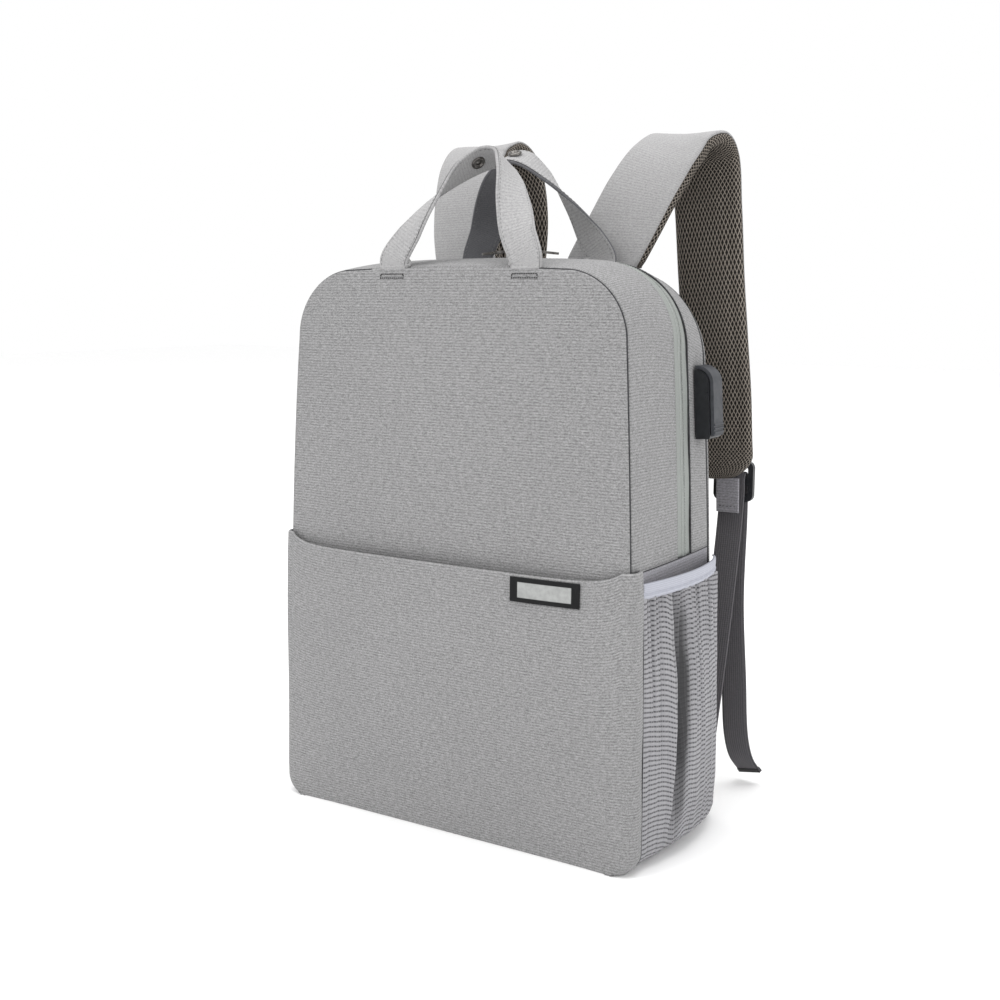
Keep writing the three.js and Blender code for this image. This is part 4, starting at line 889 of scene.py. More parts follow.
@dataclass
class Sheet:
    """A sheet of cloth: a grid laid on a surface, with the place of each point on the flat cloth."""

    name: str
    place: Place
    flat: Flat
    columns: int
    rows: int
    facing: Vector
    finishes: Sequence[Finish]
    wall: float = 1.2
    hold: Hold | None = None
    ring: bool = False
    paint: Callable[[float, float], int] | None = None
    # Gives the painted shade at each point, from 0 to 1, kept as a vertex value.
    folded: Callable[[float, float], float] | None = None

    def grid(self) -> bmesh.types.BMesh:
        """Makes the grid and lays it on the surface.

        Returns:
            The mesh in millimetres, with its cloth map and the weights of its held points.
        """
        bm = bmesh.new()
        cloth = bm.loops.layers.uv.new(CLOTH_MAP)
        weights = bm.verts.layers.deform.verify() if self.hold else None
        # Vertex value for the painted shade in folds.
        painted_shades = bm.verts.layers.float.new(PAINTED_SHADE_VALUE) if self.folded else None
        bmesh.ops.create_grid(bm, x_segments=self.columns, y_segments=self.rows, size=0.5)
        low = min(vert.co.x for vert in bm.verts)
        span = max(vert.co.x for vert in bm.verts) - low
        shares = {vert: ((vert.co.x - low) / span, (vert.co.y - low) / span) for vert in bm.verts}
        for face in bm.faces:
            if self.paint:
                places = [shares[vert] for vert in face.verts]
                face.material_index = self.paint(sum(p[0] for p in places) / 4, sum(p[1] for p in places) / 4)
            for loop in face.loops:
                across, along = self.flat(*shares[loop.vert])
                loop[cloth].uv = (across * MM, along * MM)
        for vert, (u, v) in shares.items():
            vert.co = self.place(u, v)
            if weights is not None:
                vert[weights][0] = self.hold(u, v)
            if painted_shades is not None:
                vert[painted_shades] = self.folded(u, v)
        return bm

    def face_out(self, bm: bmesh.types.BMesh) -> None:
        """Turns the sheet's faces over where its middle looks away from where it should."""
        bm.normal_update()
        bm.faces.ensure_lookup_table()
        middle = bm.faces[(self.rows // 2) * self.columns + self.columns // 2]
        if middle.normal.dot(self.facing) < 0:
            bmesh.ops.reverse_faces(bm, faces=bm.faces)

    def make(self) -> bpy.types.Object:
        """Makes the sheet.

        Returns:
            The object: a closed ring where the sheet is one, and otherwise with a Solidify modifier.
        """
        bm = self.grid()
        if self.ring:
            bmesh.ops.remove_doubles(bm, verts=bm.verts, dist=0.001)
            bmesh.ops.holes_fill(bm, edges=[edge for edge in bm.edges if edge.is_boundary], sides=0)
            bmesh.ops.recalc_face_normals(bm, faces=bm.faces)
        else:
            self.face_out(bm)
        piece = finished_object(self.name, bm, self.finishes)
        if self.hold:
            piece.vertex_groups.new(name=SEAM_GROUP)
        if not self.ring:
            wall = piece.modifiers.new("Wall", "SOLIDIFY")
            wall.thickness = self.wall * MM
            wall.offset = -1
            wall.use_even_offset = False
        return piece


def settle(piece: bpy.types.Object, node: str, slot: str, body: str = "bag") -> None:
    """Puts a piece in the place of a CAD node.

    Args:
        piece: The piece.
        node: The CAD node that it stands for, or nothing.
        slot: Not used.
        body: The body that it rides on.
    """
    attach(piece, body)
    if node:
        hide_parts(node)
    log.info("%s: %d faces", piece.name, len(piece.data.polygons))


def round_off(piece: bpy.types.Object) -> None:
    """Adds one subdivision to a piece."""
    made = piece.modifiers.new("Soft", "SUBSURF")
    made.levels = made.render_levels = 1


def puff(piece: bpy.types.Object, pressure: float, cap: float, frames: int = 20) -> None:
    """Blows a padded piece up with cloth simulation, its seams held, and keeps the result in its mesh.

    Args:
        piece: The piece, with its held points in the seam group.
        pressure: The pressure inside it.
        cap: How far a point may move, in millimetres.
        frames: How many steps the simulation takes.
    """
    scene = bpy.context.scene
    cloth = piece.modifiers.new("Puff", "CLOTH")
    cloth.settings.use_pressure = True
    cloth.settings.uniform_pressure_force = pressure
    cloth.settings.effector_weights.gravity = 0
    cloth.settings.vertex_group_mass = SEAM_GROUP
    cloth.settings.quality = 4
    cloth.point_cache.frame_start = 1
    cloth.point_cache.frame_end = frames
    for number in range(1, frames + 1):
        scene.frame_set(number)
    blown = piece.evaluated_get(bpy.context.evaluated_depsgraph_get()).to_mesh()
    moved = [after.co - before.co for before, after in zip(piece.data.vertices, blown.vertices)]
    places = [vert.co.copy() for vert in piece.data.vertices]
    piece.evaluated_get(bpy.context.evaluated_depsgraph_get()).to_mesh_clear()
    piece.modifiers.remove(cloth)
    scene.frame_set(1)
    for vert, start, step in zip(piece.data.vertices, places, moved):
        limit = cap * MM
        vert.co = start + (step if step.length <= limit else step.normalized() * limit)
    log.info("%s puffed by up to %.1f mm", piece.name, max(step.length for step in moved) / MM)


@dataclass
class StitchRun:
    """A row of stitches along a path, each a small rounded bar that lies on the cloth."""

    name: str
    path: Path
    finish: Finish
    slot: str
    pitch: float = 3.4
    bar: float = 2.3
    radius: float = 0.3
    steps: int = 160
    height: float = 0.0

    def make(self) -> None:
        """Makes the stitches as one object."""
        marks = [self.path(i / self.steps) for i in range(self.steps + 1)]
        travel = [0.0]
        for (a, _), (b, _) in zip(marks, marks[1:]):
            travel.append(travel[-1] + (b - a).length)
        bm = bmesh.new()
        at = 0
        count = max(int(travel[-1] / self.pitch), 1)
        for number in range(count):
            wanted = (number + 0.5) * travel[-1] / count
            while travel[at + 1] < wanted:
                at += 1
            (a, normal), (b, _) = marks[at], marks[at + 1]
            t = (wanted - travel[at]) / (travel[at + 1] - travel[at])
            along = (b - a).normalized()
            up = (normal - along * normal.dot(along)).normalized()
            turn = Matrix((along, up.cross(along), up)).transposed().to_4x4()
            size = Matrix.Diagonal((self.bar / 2, self.radius, self.height or self.radius, 1.0))
            where = Matrix.Translation(a.lerp(b, t))
            bmesh.ops.create_icosphere(bm, subdivisions=1, radius=1.0, matrix=where @ turn @ size)
        settle(finished_object(self.name, bm, [self.finish]), "", self.slot)


@dataclass
class SeamLine:
    """A thin dark line of thread that lies in a seam."""

    name: str
    path: Path
    finish: Finish
    slot: str
    radius: float = 0.5
    steps: int = 240
    sides: int = 6

    def make(self) -> None:
        """Makes the line as a thin tube."""
        marks = [self.path(i / self.steps) for i in range(self.steps + 1)]

        def place(u: float, v: float) -> Vector:
            """Returns a point of the tube's skin."""
            at = min(round(v * self.steps), self.steps)
            centre, normal = marks[at]
            along = (marks[min(at + 1, self.steps)][0] - marks[max(at - 1, 0)][0]).normalized()
            up = (normal - along * normal.dot(along)).normalized()
            angle = 2 * math.pi * u
            return centre + (up * math.cos(angle) + up.cross(along) * math.sin(angle)) * self.radius

        flat = lambda u, v: (u, v)
        tube = Sheet(self.name, place, flat, self.sides, self.steps, UPWARD, [self.finish], ring=True)
        settle(tube.make(), "", self.slot)


def table_value(rows: Sequence[Sequence[float]], column: int, share: float) -> float:
    """Reads a table at any place of its first column by a smooth curve through its rows.

    Args:
        rows: The table.
        column: The column to read.
        share: The place in the first column.

    Returns:
        The value.
    """
    high = next((i for i, row in enumerate(rows) if row[0] >= share and i > 0), len(rows) - 1)
    low = high - 1
    t = clamp((share - rows[low][0]) / (rows[high][0] - rows[low][0]))
    return lerp(rows[low][column], rows[high][column], smooth(t))


@dataclass
class BagBody:
    """The padded front and back, the gusset round them, the zip band and the base."""

    roll: float = 1.7
    panel_edge: float = 0.01
    front_edge: float = 2.2
    rear_edge: float = 6.0
    zip_start: float = 3.0
    zip_width: float = 21.0
    plain_half: float = 62.0
    arch_rows: int = 200
    pad_pressure: float = 2.5
    pad_cap: float = 3.0
    pad_held: float = 0.1
    border_across: float = 0.14
    border_up: float = 0.13
    stitch_end: float = 0.004
    path_steps: int = 500
    seam_steps: int = 400

    def panel(self, u: float, v: float, share: float, face: Callable[[float, float], float]) -> Vector:
        """Finds a point of the front or back panel.

        Args:
            u: The place across, from 0 to 1.
            v: The place from base to top, from 0 to 1.
            share: 0 for the front and 1 for the back.
            face: The depth of the panel's face at a point.

        Returns:
            The point in millimetres.
        """
        across = 2 * edge_share(u, self.panel_edge) - 1
        half, z = BAG.panel_row(edge_share(v, self.panel_edge), share)
        arch = smooth((z - BAG.corner_start(share)) / BAG.radius(share))
        x = across * half
        z += BAG.top_crown * (1 - across * across) * arch
        top = BAG.top(share) + BAG.top_crown * (1 - across * across)
        rim = min((1 - abs(across)) * half, top - z, z)
        inward = 1 if share == 0 else -1
        soft = wrinkle(Vector((x, 40 * share, z)), 46.0, 0.5) * smooth(rim / 22)
        return Vector((x, face(x, z) + inward * (rolled(rim, self.roll) + soft), z))

    def front(self) -> None:
        """Makes the front panel."""
        place = lambda u, v: self.panel(u, v, 0, BAG.front_face)
        flat = lambda u, v: (place(u, v).x, place(u, v).z)
        sheet = Sheet("front_panel_cloth", place, flat, 80, 110, FRONTWARD, [CANVAS], 1.5)
        settle(sheet.make(), "front_panel", "canvas")

    def back(self) -> None:
        """Makes the padded back panel and puffs it."""
        place = lambda u, v: self.panel(u, v, 1, BAG.back_face)
        flat = lambda u, v: (place(u, v).x, place(u, v).z)
        hold = lambda u, v: 1.0 if min(u, 1 - u, v, 1 - v) < self.pad_held else 0.0
        border = lambda u, v: int(min(u, 1 - u) < self.border_across or min(v, 1 - v) < self.border_up)
        finishes = [AIR_MESH, CANVAS]
        sheet = Sheet("back_pad", place, flat, 60, 80, REARWARD, finishes, BAG.back_pad * 0.7, hold)
        sheet.paint = border
        made = sheet.make()
        puff(made, self.pad_pressure, self.pad_cap)
        round_off(made)
        settle(made, "back_panel", "air_mesh")

    def strip(
        self,
        name: str,
        stations: Ends,
        depths: Ends,
        finish: Finish,
        facing: Vector,
        columns: int = 24,
        rows: int = 200,
        relief: Callable[[float, float], float] | None = None,
    ) -> bpy.types.Object:
        """Makes a strip of the gusset.

        Args:
            name: The object's name.
            stations: Gives the outline's distance and the side at a share of the strip's length.
            depths: Gives the strip's front and rear depth at a height.
            finish: The cloth.
            facing: Where the strip's middle looks.
            columns: The number of faces across it.
            rows: The number of faces along it.
            relief: Gives how far the strip dips at a share across and a share along.

        Returns:
            The strip.
        """

        def place(u: float, v: float) -> Vector:
            """Returns a point of the strip."""
            distance, sign = stations(v)
            spot = BAG.place_at(distance)
            start, end = depths(BAG.outline(spot, 0.5)[1])
            share = edge_share(u, self.roll / (end - start))
            y = lerp(start, end, share)
            rim = min(share, 1 - share) * (end - start)
            dip = relief(share, v) if relief else rolled(rim, self.roll) * 0.8
            point = BAG.gusset_point(spot, sign, y, 0)
            soft = wrinkle(point, 38.0, 0.55) * smooth(rim / 10)
            return BAG.gusset_point(spot, sign, y, dip + soft)

        def flat(u: float, v: float) -> tuple[float, float]:
            """Returns the point's place on the flat cloth: its slubs run from front to rear."""
            distance, sign = stations(v)
            start, end = depths(BAG.outline(BAG.place_at(distance), 0.5)[1])
            return lerp(start, end, edge_share(u, self.roll / (end - start))), sign * (700 - distance)

        return Sheet(name, place, flat, columns, rows, facing, [finish], 1.2).make()

    def arch(self, v: float) -> tuple[float, float]:
        """Returns the outline's distance and the side at a share of the arch, from the left side seam."""
        reach, sign = both_ways(v)
        return lerp(BAG.distance_of(6), BAG.distance_of(3) + 0.4, reach), sign

    def arches(self) -> None:
        """Makes the gusset before the zip, the zip tape and the gusset behind it."""
        first, last = self.zip_start, self.zip_start + self.zip_width
        before = lambda z: (BAG.front_y(z) + self.front_edge, first - BAG.gap)
        behind = lambda z: (last + BAG.gap, BAG.rear_y(z) - self.rear_edge)
        rows = (
            ("front_gusset_cloth", before, CANVAS, 40, None, "front_gusset", "canvas"),
            ("rear_gusset_cloth", behind, CANVAS, 30, None, "rear_gusset", "canvas"),
            ("zip_tape", lambda z: (first, last), ZIP_TAPE, 44, self.zip_relief, "zip_band", "zip_tape"),
        )
        for name, depths, finish, columns, relief, node, slot in rows:
            made = self.strip(name, self.arch, depths, finish, UPWARD, columns, self.arch_rows, relief)
            settle(made, node, slot)

    def zip_relief(self, u: float, v: float) -> float:
        """Returns how far the zip tape dips: it is raised over the teeth, with a groove where they meet."""
        middle = abs(u - 0.5) * self.zip_width
        over_teeth = 0.9 * (1 - smooth((middle - 2.2) / 2.0))
        groove = 1.5 * (1 - smooth(middle / 0.8))
        return 1.1 - over_teeth + groove + 0.25 * math.sin(v * 60) * smooth(middle / 6)

    def zip_stitches(self) -> None:
        """Makes the stitches that hold the zip to the gusset, and the coil beside its middle."""
        bar = (3.0, 2.2, 0.22, self.path_steps)
        coil = (1.9, 1.1, 1.5, self.path_steps, 0.45)
        rows = (
            ("zip_stitches_front", self.zip_start - 3.4, 0.05, THREAD, "canvas", bar),
            ("zip_stitches_rear", self.zip_start + self.zip_width + 2.6, 0.05, THREAD, "canvas", bar),
            ("zip_coil", self.zip_start + self.zip_width * 0.5, 0.35, ZIP_COIL, "zip_tape", coil),
        )
        for name, y, inset, finish, slot, stitch in rows:

            def path(t: float, y: float = y, inset: float = inset) -> tuple[Vector, Vector]:
                """Returns a point of the row of stitches and the direction out of the cloth."""
                distance, sign = self.arch(lerp(self.stitch_end, 1 - self.stitch_end, t))
                return BAG.gusset_mark(BAG.place_at(distance), sign, y, inset)

            StitchRun(name, path, finish, slot, *stitch).make()

    def round_line(self, depth: Callable[[float], float], start: float, inset: float) -> Path:
        """Makes a path over the bag from one side to the other.

        Args:
            depth: Gives the depth at a height.
            start: Where the path starts and ends, as a distance along the outline.
            inset: How far it lies inside the gusset's face.

        Returns:
            The path, which gives a point and the direction out of the cloth.
        """

        def path(t: float) -> tuple[Vector, Vector]:
            """Returns a point of the path and the direction out of the cloth."""
            reach, sign = both_ways(t)
            spot = BAG.place_at(lerp(BAG.distance_of(6), start, reach))
            return BAG.gusset_mark(spot, sign, depth(BAG.outline(spot, 0.5)[1]), inset)

        return path

    def side_lines(self, side: Side) -> list[tuple[str, Path, float]]:
        """Lists the seams of one side.

        Args:
            side: The side.

        Returns:
            The name, path and radius of the front seam, the seam over the knit and the slip pocket's seam.
        """
        sign = float(side.value)

        def front(t: float) -> tuple[Vector, Vector]:
            """Returns a point of the front seam and the direction out of the cloth."""
            spot = BAG.place_at(lerp(BAG.distance_of(1), BAG.distance_of(6) - self.plain_half, t))
            return BAG.gusset_mark(spot, sign, BAG.front_y(BAG.outline(spot, 0)[1]) + 1.3, 0.75)

        def across(t: float) -> tuple[Vector, Vector]:
            """Returns a point of the side seam and the direction out of the cloth."""
            y = lerp(BAG.front_y(BAG.side_seam) + 2, BAG.rear_y(BAG.side_seam) - self.rear_edge, t)
            return BAG.gusset_point(3.0, sign, y, 0.5), side.out

        def pocket(t: float) -> tuple[Vector, Vector]:
            """Returns a point of the seam between the slip pocket and the knit, and the way out of it."""
            z = lerp(1.5, 190.0, t)
            y = BAG.front_y(z) + 11.3
            x = BAG.half_width(z, BAG.share(y, z)) - BAG.tuck(z) + 2.5
            return Vector((sign * x, y, z)), side.out

        lines = (("front", front, 0.85), ("side", across, 0.6), ("pocket", pocket, 0.6))
        return [(f"seam_{word}_{side.word}", path, radius) for word, path, radius in lines]

    def seams(self) -> None:
        """Makes the dark lines where the panels, the zip and the side meet."""
        side_start = BAG.distance_of(3) + 0.2
        zip_end = self.zip_start + self.zip_width
        rear_depth = lambda z: BAG.rear_y(z) - self.rear_edge + 0.4
        lines = [
            ("seam_zip_front", self.round_line(lambda z: self.zip_start - 0.1, side_start, 1.0), 0.45),
            ("seam_zip_rear", self.round_line(lambda z: zip_end + 0.1, side_start, 0.6), 0.75),
            ("seam_rear", self.round_line(rear_depth, BAG.distance_of(1), 1.0), 1.3),
        ]
        for side in Side:
            lines += self.side_lines(side)
        for name, path, radius in lines:
            SeamLine(name, path, SEAM_THREAD, "canvas", radius, self.seam_steps).make()

    def base(self) -> None:
        """Makes the base with its two corners, and the smooth side panels behind the knitted pockets."""
        end = BAG.distance_of(2) - 0.8
        depths = lambda z: (BAG.front_y(z) + self.front_edge, BAG.rear_y(z) - self.rear_edge)

        def stations(v: float) -> tuple[float, float]:
            """Returns the outline's distance and the side at a share of the base."""
            reach, sign = both_ways(v)
            return reach * end, sign

        settle(self.strip("base_cloth", stations, depths, CANVAS, DOWNWARD, 30, 80), "base_panel", "canvas")
        for side in Side:

            def beside(v: float, sign: float = float(side.value)) -> tuple[float, float]:
                """Returns the outline's distance and the side at a share of a side panel."""
                return lerp(BAG.distance_of(2), BAG.distance_of(3) - 0.3, v), sign

            made = self.strip(f"side_cloth_{side.word}", beside, depths, LINING, side.out, 40, 60)
            settle(made, f"side_panel_{side.word}", "lining")

    def build(self) -> None:
        """Builds the whole body."""
        self.front()
        self.back()
        self.arches()
        self.zip_stitches()
        self.seams()
        self.base()


@dataclass
class SlipPocket:
    """The slip pocket on the front, with its bare patch."""

    height: float = 194.0
    corner_rise: float = 7.0
    bag: float = 7.5
    wall: float = 2.0
    wrap: float = 11.0
    standoff: float = 2.4
    turn: float = 4.0
    front_share: float = 0.86
    corner_share: float = 0.95
    patch_size: tuple[float, float] = (50.0, 16.5)
    patch_from_side: float = 58.0
    patch_below: float = 9.8
    patch_wall: float = 1.4
    patch_edges: tuple[float, float] = (0.02, 0.05)
    rim_share: float = 0.012
    cloth_half: float = 166.0
    corner_lines: float = 0.6

    def top(self, x: float) -> float:
        """Returns the height of the pocket's edge."""
        return self.height + self.corner_rise * clamp(abs(x) / BAG.base_half_front) ** 14

    def bagging(self, x: float, z: float) -> float:
        """Returns how far the pocket stands off the panel behind it."""
        across = clamp(abs(x) / BAG.base_half_front)
        return BAG.gap + self.bag * smooth(1.25 * z / self.height) * (1 - 0.75 * across**3)

    def point(self, along: float, up: float, depth: float) -> Vector:
        """Finds a point of the pocket's cloth.

        Args:
            along: The place from one end of the cloth, -1, to the other, 1.
            up: The place from the base, 0, to the pocket's edge, 1.
            depth: How far the point stands out of the cloth's inner face.

        Returns:
            The point in millimetres.
        """
        sign = -1 if along < 0 else 1
        reach = abs(along)
        out = clamp(reach / self.front_share)
        z = BAG.gap + (self.top(out * BAG.base_half_front) - BAG.gap) * up
        half = BAG.half_width(z, 0)
        flat = half - self.turn
        turn_y = BAG.front_y(z) + self.turn
        low = BAG.tuck(z)
        standoff = self.standoff + depth
        if reach <= self.front_share:
            x = out * flat
            near = BAG.front_face(x, z) - self.bagging(x, z)
            corner = BAG.front_y(z) - self.standoff
            y = lerp(near, min(near, corner), out**6) - depth
            return Vector((sign * min(x, flat - low * out), y, z))
        if reach <= self.corner_share:
            angle = (reach - self.front_share) / (self.corner_share - self.front_share) * math.pi / 2
            radius = self.turn + standoff
            swell = BAG.half_width(z, BAG.share(turn_y, z)) - half
            x = flat - low + (radius + swell) * math.sin(angle)
            return Vector((sign * x, turn_y - radius * math.cos(angle), z))
        t = (reach - self.corner_share) / (1 - self.corner_share)
        close = lerp(standoff, BAG.corner_gap + depth, smooth(t))
        y = lerp(turn_y, BAG.front_y(z) + self.wrap, t)
        return Vector((sign * (BAG.half_width(z, BAG.share(y, z)) - low + close), y, z))

    def cloth(self) -> None:
        """Makes the pocket, its upper edge folded over."""

        def place(u: float, v: float) -> Vector:
            """Returns a point of the pocket's outer face."""
            along = self.spread(u)
            up = edge_share(v, self.rim_share)
            rim = (1 - up) * self.height
            point = self.point(along, up, self.wall)
            inner = self.point(along, up, 0)
            soft = wrinkle(point, 52.0, 0.9) * smooth(rim / 14) * smooth(up * 8)
            return point.lerp(inner, clamp(rolled(rim, 1.6) * 0.5 + soft * 0.4, -0.5, 1.0))

        def flat(u: float, v: float) -> tuple[float, float]:
            """Returns the point's place on the flat cloth."""
            return self.spread(u) * self.cloth_half, edge_share(v, self.rim_share) * self.height

        sheet = Sheet("slip_pocket", place, flat, 180, 90, FRONTWARD, [CANVAS], 1.5)
        settle(sheet.make(), "front_pocket", "canvas")

    def spread(self, u: float) -> float:
        """Returns the place along the cloth at a share of the grid, with more lines in the corners."""
        across = 2 * u - 1
        sign = -1 if across < 0 else 1
        reach = abs(across)
        if reach < self.corner_lines:
            return sign * self.front_share * reach / self.corner_lines
        return sign * lerp(self.front_share, 1, (reach - self.corner_lines) / (1 - self.corner_lines))

    def patch(self) -> None:
        """Makes the bare patch, with a raised rim round its field."""
        width, height = self.patch_size
        centre_x = BAG.base_half_front - self.patch_from_side
        centre_z = self.height - self.patch_below

        def face(x: float, z: float) -> float:
            """Returns the depth of the pocket's face behind the patch."""
            flat = BAG.half_width(z, 0) - self.turn
            return self.point(x / flat * self.front_share, z / self.top(x), self.wall).y

        def place(u: float, v: float) -> Vector:
            """Returns a point of the patch's face."""
            across, up = flat(u, v)
            rim = min(width / 2 - abs(across), height / 2 - abs(up))
            sunk = 0.35 * smooth((rim - 2.6) / 0.5) + rolled(rim, 0.8)
            x, z = centre_x + across, centre_z + up
            return Vector((x, face(x, z) - BAG.gap - self.patch_wall + sunk, z))

        def flat(u: float, v: float) -> tuple[float, float]:
            """Returns the point's place on the patch, from its centre."""
            return off_middle(u, self.patch_edges[0], width), off_middle(v, self.patch_edges[1], height)

        sheet = Sheet("label_patch", place, flat, 80, 50, FRONTWARD, [PATCH], 1.0)
        settle(sheet.make(), "front_patch", "patch")

    def build(self) -> None:
        """Builds the pocket and its patch."""
        self.cloth()
        self.patch()


@dataclass
class KnitPocket:
    """A knitted side pocket with gathers under an elastic binding."""

    side: Side
    bulge: float = 13.0
    mouth: float = 8.5
    fold_depth: float = 10.0
    gather_depth: float = 1.3
    gathers: int = 9
    fold_at: float = 0.27
    fold_width: float = 0.02
    wrap: float = 11.0
    trim_top: float = 192.5
    trim_height: float = 10.5
    trim_wall: float = 2.2
    trim_edge: float = 0.16
    wall: float = 1.6
    edge: float = 0.02
    cloth_width: float = 128.0
    trim_length: float = 124.0
    levels: Rows = (
        (0.0, 0.2, 0.0, 0.0),
        (0.08, 0.8, 0.0, 0.15),
        (0.22, 1.0, 0.05, 0.6),
        (0.45, 1.0, 0.15, 1.0),
        (0.65, 0.9, 0.35, 1.0),
        (0.85, 0.7, 0.8, 0.75),
        (1.0, 0.6, 1.0, 0.25),
    )

    def swell(self, along: float) -> float:
        """Returns the pocket's fullness from its front seam, 0, to its rear seam, 1."""
        return max(0.0, math.sin(math.pi * clamp(along) ** 1.25)) ** 0.62

    def beside(self, along: float, z: float, standoff: float) -> Vector:
        """Returns a point beside the bag, off its side by a standoff."""
        start = BAG.front_y(z) + self.wrap + 2 * BAG.gap
        end = BAG.rear_y(z) - 2 * BAG.gap
        y = lerp(start, end, along)
        across = BAG.half_width(z, BAG.share(y, z)) - BAG.tuck(z) + BAG.corner_gap + standoff
        return Vector((self.side.value * across, y, z))

    def pleats(self, along: float, up: float) -> float:
        """Returns the height of the knit's fine upright pleats, about 0."""
        fine = 0.6 * noise.noise(Vector((along * 60.0, up, 9.0)))
        return noise.noise(Vector((along * 26.0, up * 1.6, 3.0))) + fine

    def fold_middle(self, up: float) -> float:
        """Returns the place of the deep fold between the front seam and the rear seam."""
        return self.fold_at + 0.06 * up - 0.06 * (1 - up) ** 2 - 0.09 * max(0.0, up - 0.6)

    def dent(self, along: float, up: float) -> float:
        """Returns the deep fold's depth as a share: it is steep in front and falls slowly behind."""
        middle = self.fold_middle(up)
        slope = self.fold_width * (1.0 if along < middle else 2.6)
        return bell(along, middle, slope) * table_value(self.levels, 3, up)

    def darkness(self, along: float, up: float) -> float:
        """Returns the painted shade on the knit: most in the deep fold, and a little between pleats."""
        middle = self.fold_middle(up) + 0.07
        slope = 0.06 if along < middle else 0.03
        deep = bell(along, middle, slope) * table_value(self.levels, 3, up)
        between = clamp(-1.5 * self.pleats(along, up)) * lerp(0.16, 0.42, table_value(self.levels, 2, up))
        return clamp(1.15 * deep + between, 0.0, 1.0)

    def off_side(self, along: float, up: float) -> float:
        """Works out how far the knit stands off the bag's side.

        Args:
            along: The place from the front seam, 0, to the rear seam, 1.
            up: The place from the base, 0, to the binding, 1.

        Returns:
            The distance in millimetres.
        """
        full = self.bulge * table_value(self.levels, 1, up) * self.swell(along)
        ends = min(1.0, 14 * along * (1 - along))
        gathered = table_value(self.levels, 2, up)
        wave = math.cos(2 * math.pi * self.gathers * along) * 0.5 - 0.5
        pleats = self.pleats(along, up)
        gather = self.gather_depth * gathered * wave + 2.8 * pleats * (0.45 + gathered)
        folded = table_value(self.levels, 3, up)
        middle = self.fold_middle(up)
        lips = bell(along, middle - 0.045, 0.025) + 0.7 * bell(along, middle + 0.13, 0.045)
        fold = self.fold_depth * self.dent(along, up) - 2.0 * folded * lips
        return max(full + gather * ends - fold, 0.1)

    def knit(self) -> None:
        """Makes the knitted cloth."""
        top = self.trim_top - self.trim_height + 1.0
        height = lambda v: lerp(BAG.gap, top, edge_share(v, self.edge))

        def place(u: float, v: float) -> Vector:
            """Returns a point of the knit. Beside the deep fold the cloth leans over it."""
            up = edge_share(v, self.edge)
            lean = 0.02 * table_value(self.levels, 3, up) * bell(u, self.fold_middle(up) - 0.02, 0.02)
            return self.beside(u + lean, height(v), self.off_side(u, up) + self.wall)

        def flat(u: float, v: float) -> tuple[float, float]:
            """Returns the point's place on the flat knit, whose rows wander and dip at the deep fold."""
            dip = 5.0 * bell(u, self.fold_at, 0.07)
            drift = 3.0 * noise.noise(Vector((u * 7, v * 3, 1.0)))
            return u * self.cloth_width, height(v) + dip + drift

        sheet = Sheet(f"knit_pocket_{self.side.word}", place, flat, 220, 110, self.side.out, [KNIT], 1.1)
        # Painted shade on the knit in its deep fold and between its pleats.
        sheet.folded = lambda u, v: self.darkness(u, edge_share(v, self.edge))
        settle(sheet.make(), f"mesh_pocket_{self.side.word}", "knit_mesh")

    def binding(self) -> None:
        """Makes the elastic binding, folded over the pocket's mouth."""

        def place(u: float, v: float) -> Vector:
            """Returns a point of the binding."""
            up = edge_share(v, self.trim_edge)
            z = self.trim_top - self.trim_height * (1 - up)
            rim = min(up, 1 - up) * self.trim_height
            groove = 0.9 * bell(up, 0.34, 0.07)
            pucker = 0.3 * math.sin(u * 88) * (1 - up)
            stand = self.mouth * self.swell(u) + self.trim_wall - rolled(rim, 1.5) - groove - pucker
            return self.beside(u, z, stand)

        flat = lambda u, v: (edge_share(v, self.trim_edge) * self.trim_height, u * self.trim_length)
        sheet = Sheet(f"pocket_binding_{self.side.word}", place, flat, 180, 24, self.side.out, [ELASTIC], 1.0)
        settle(sheet.make(), f"pocket_trim_{self.side.word}", "elastic")

    def build(self) -> None:
        """Builds the pocket."""
        self.knit()
        self.binding()


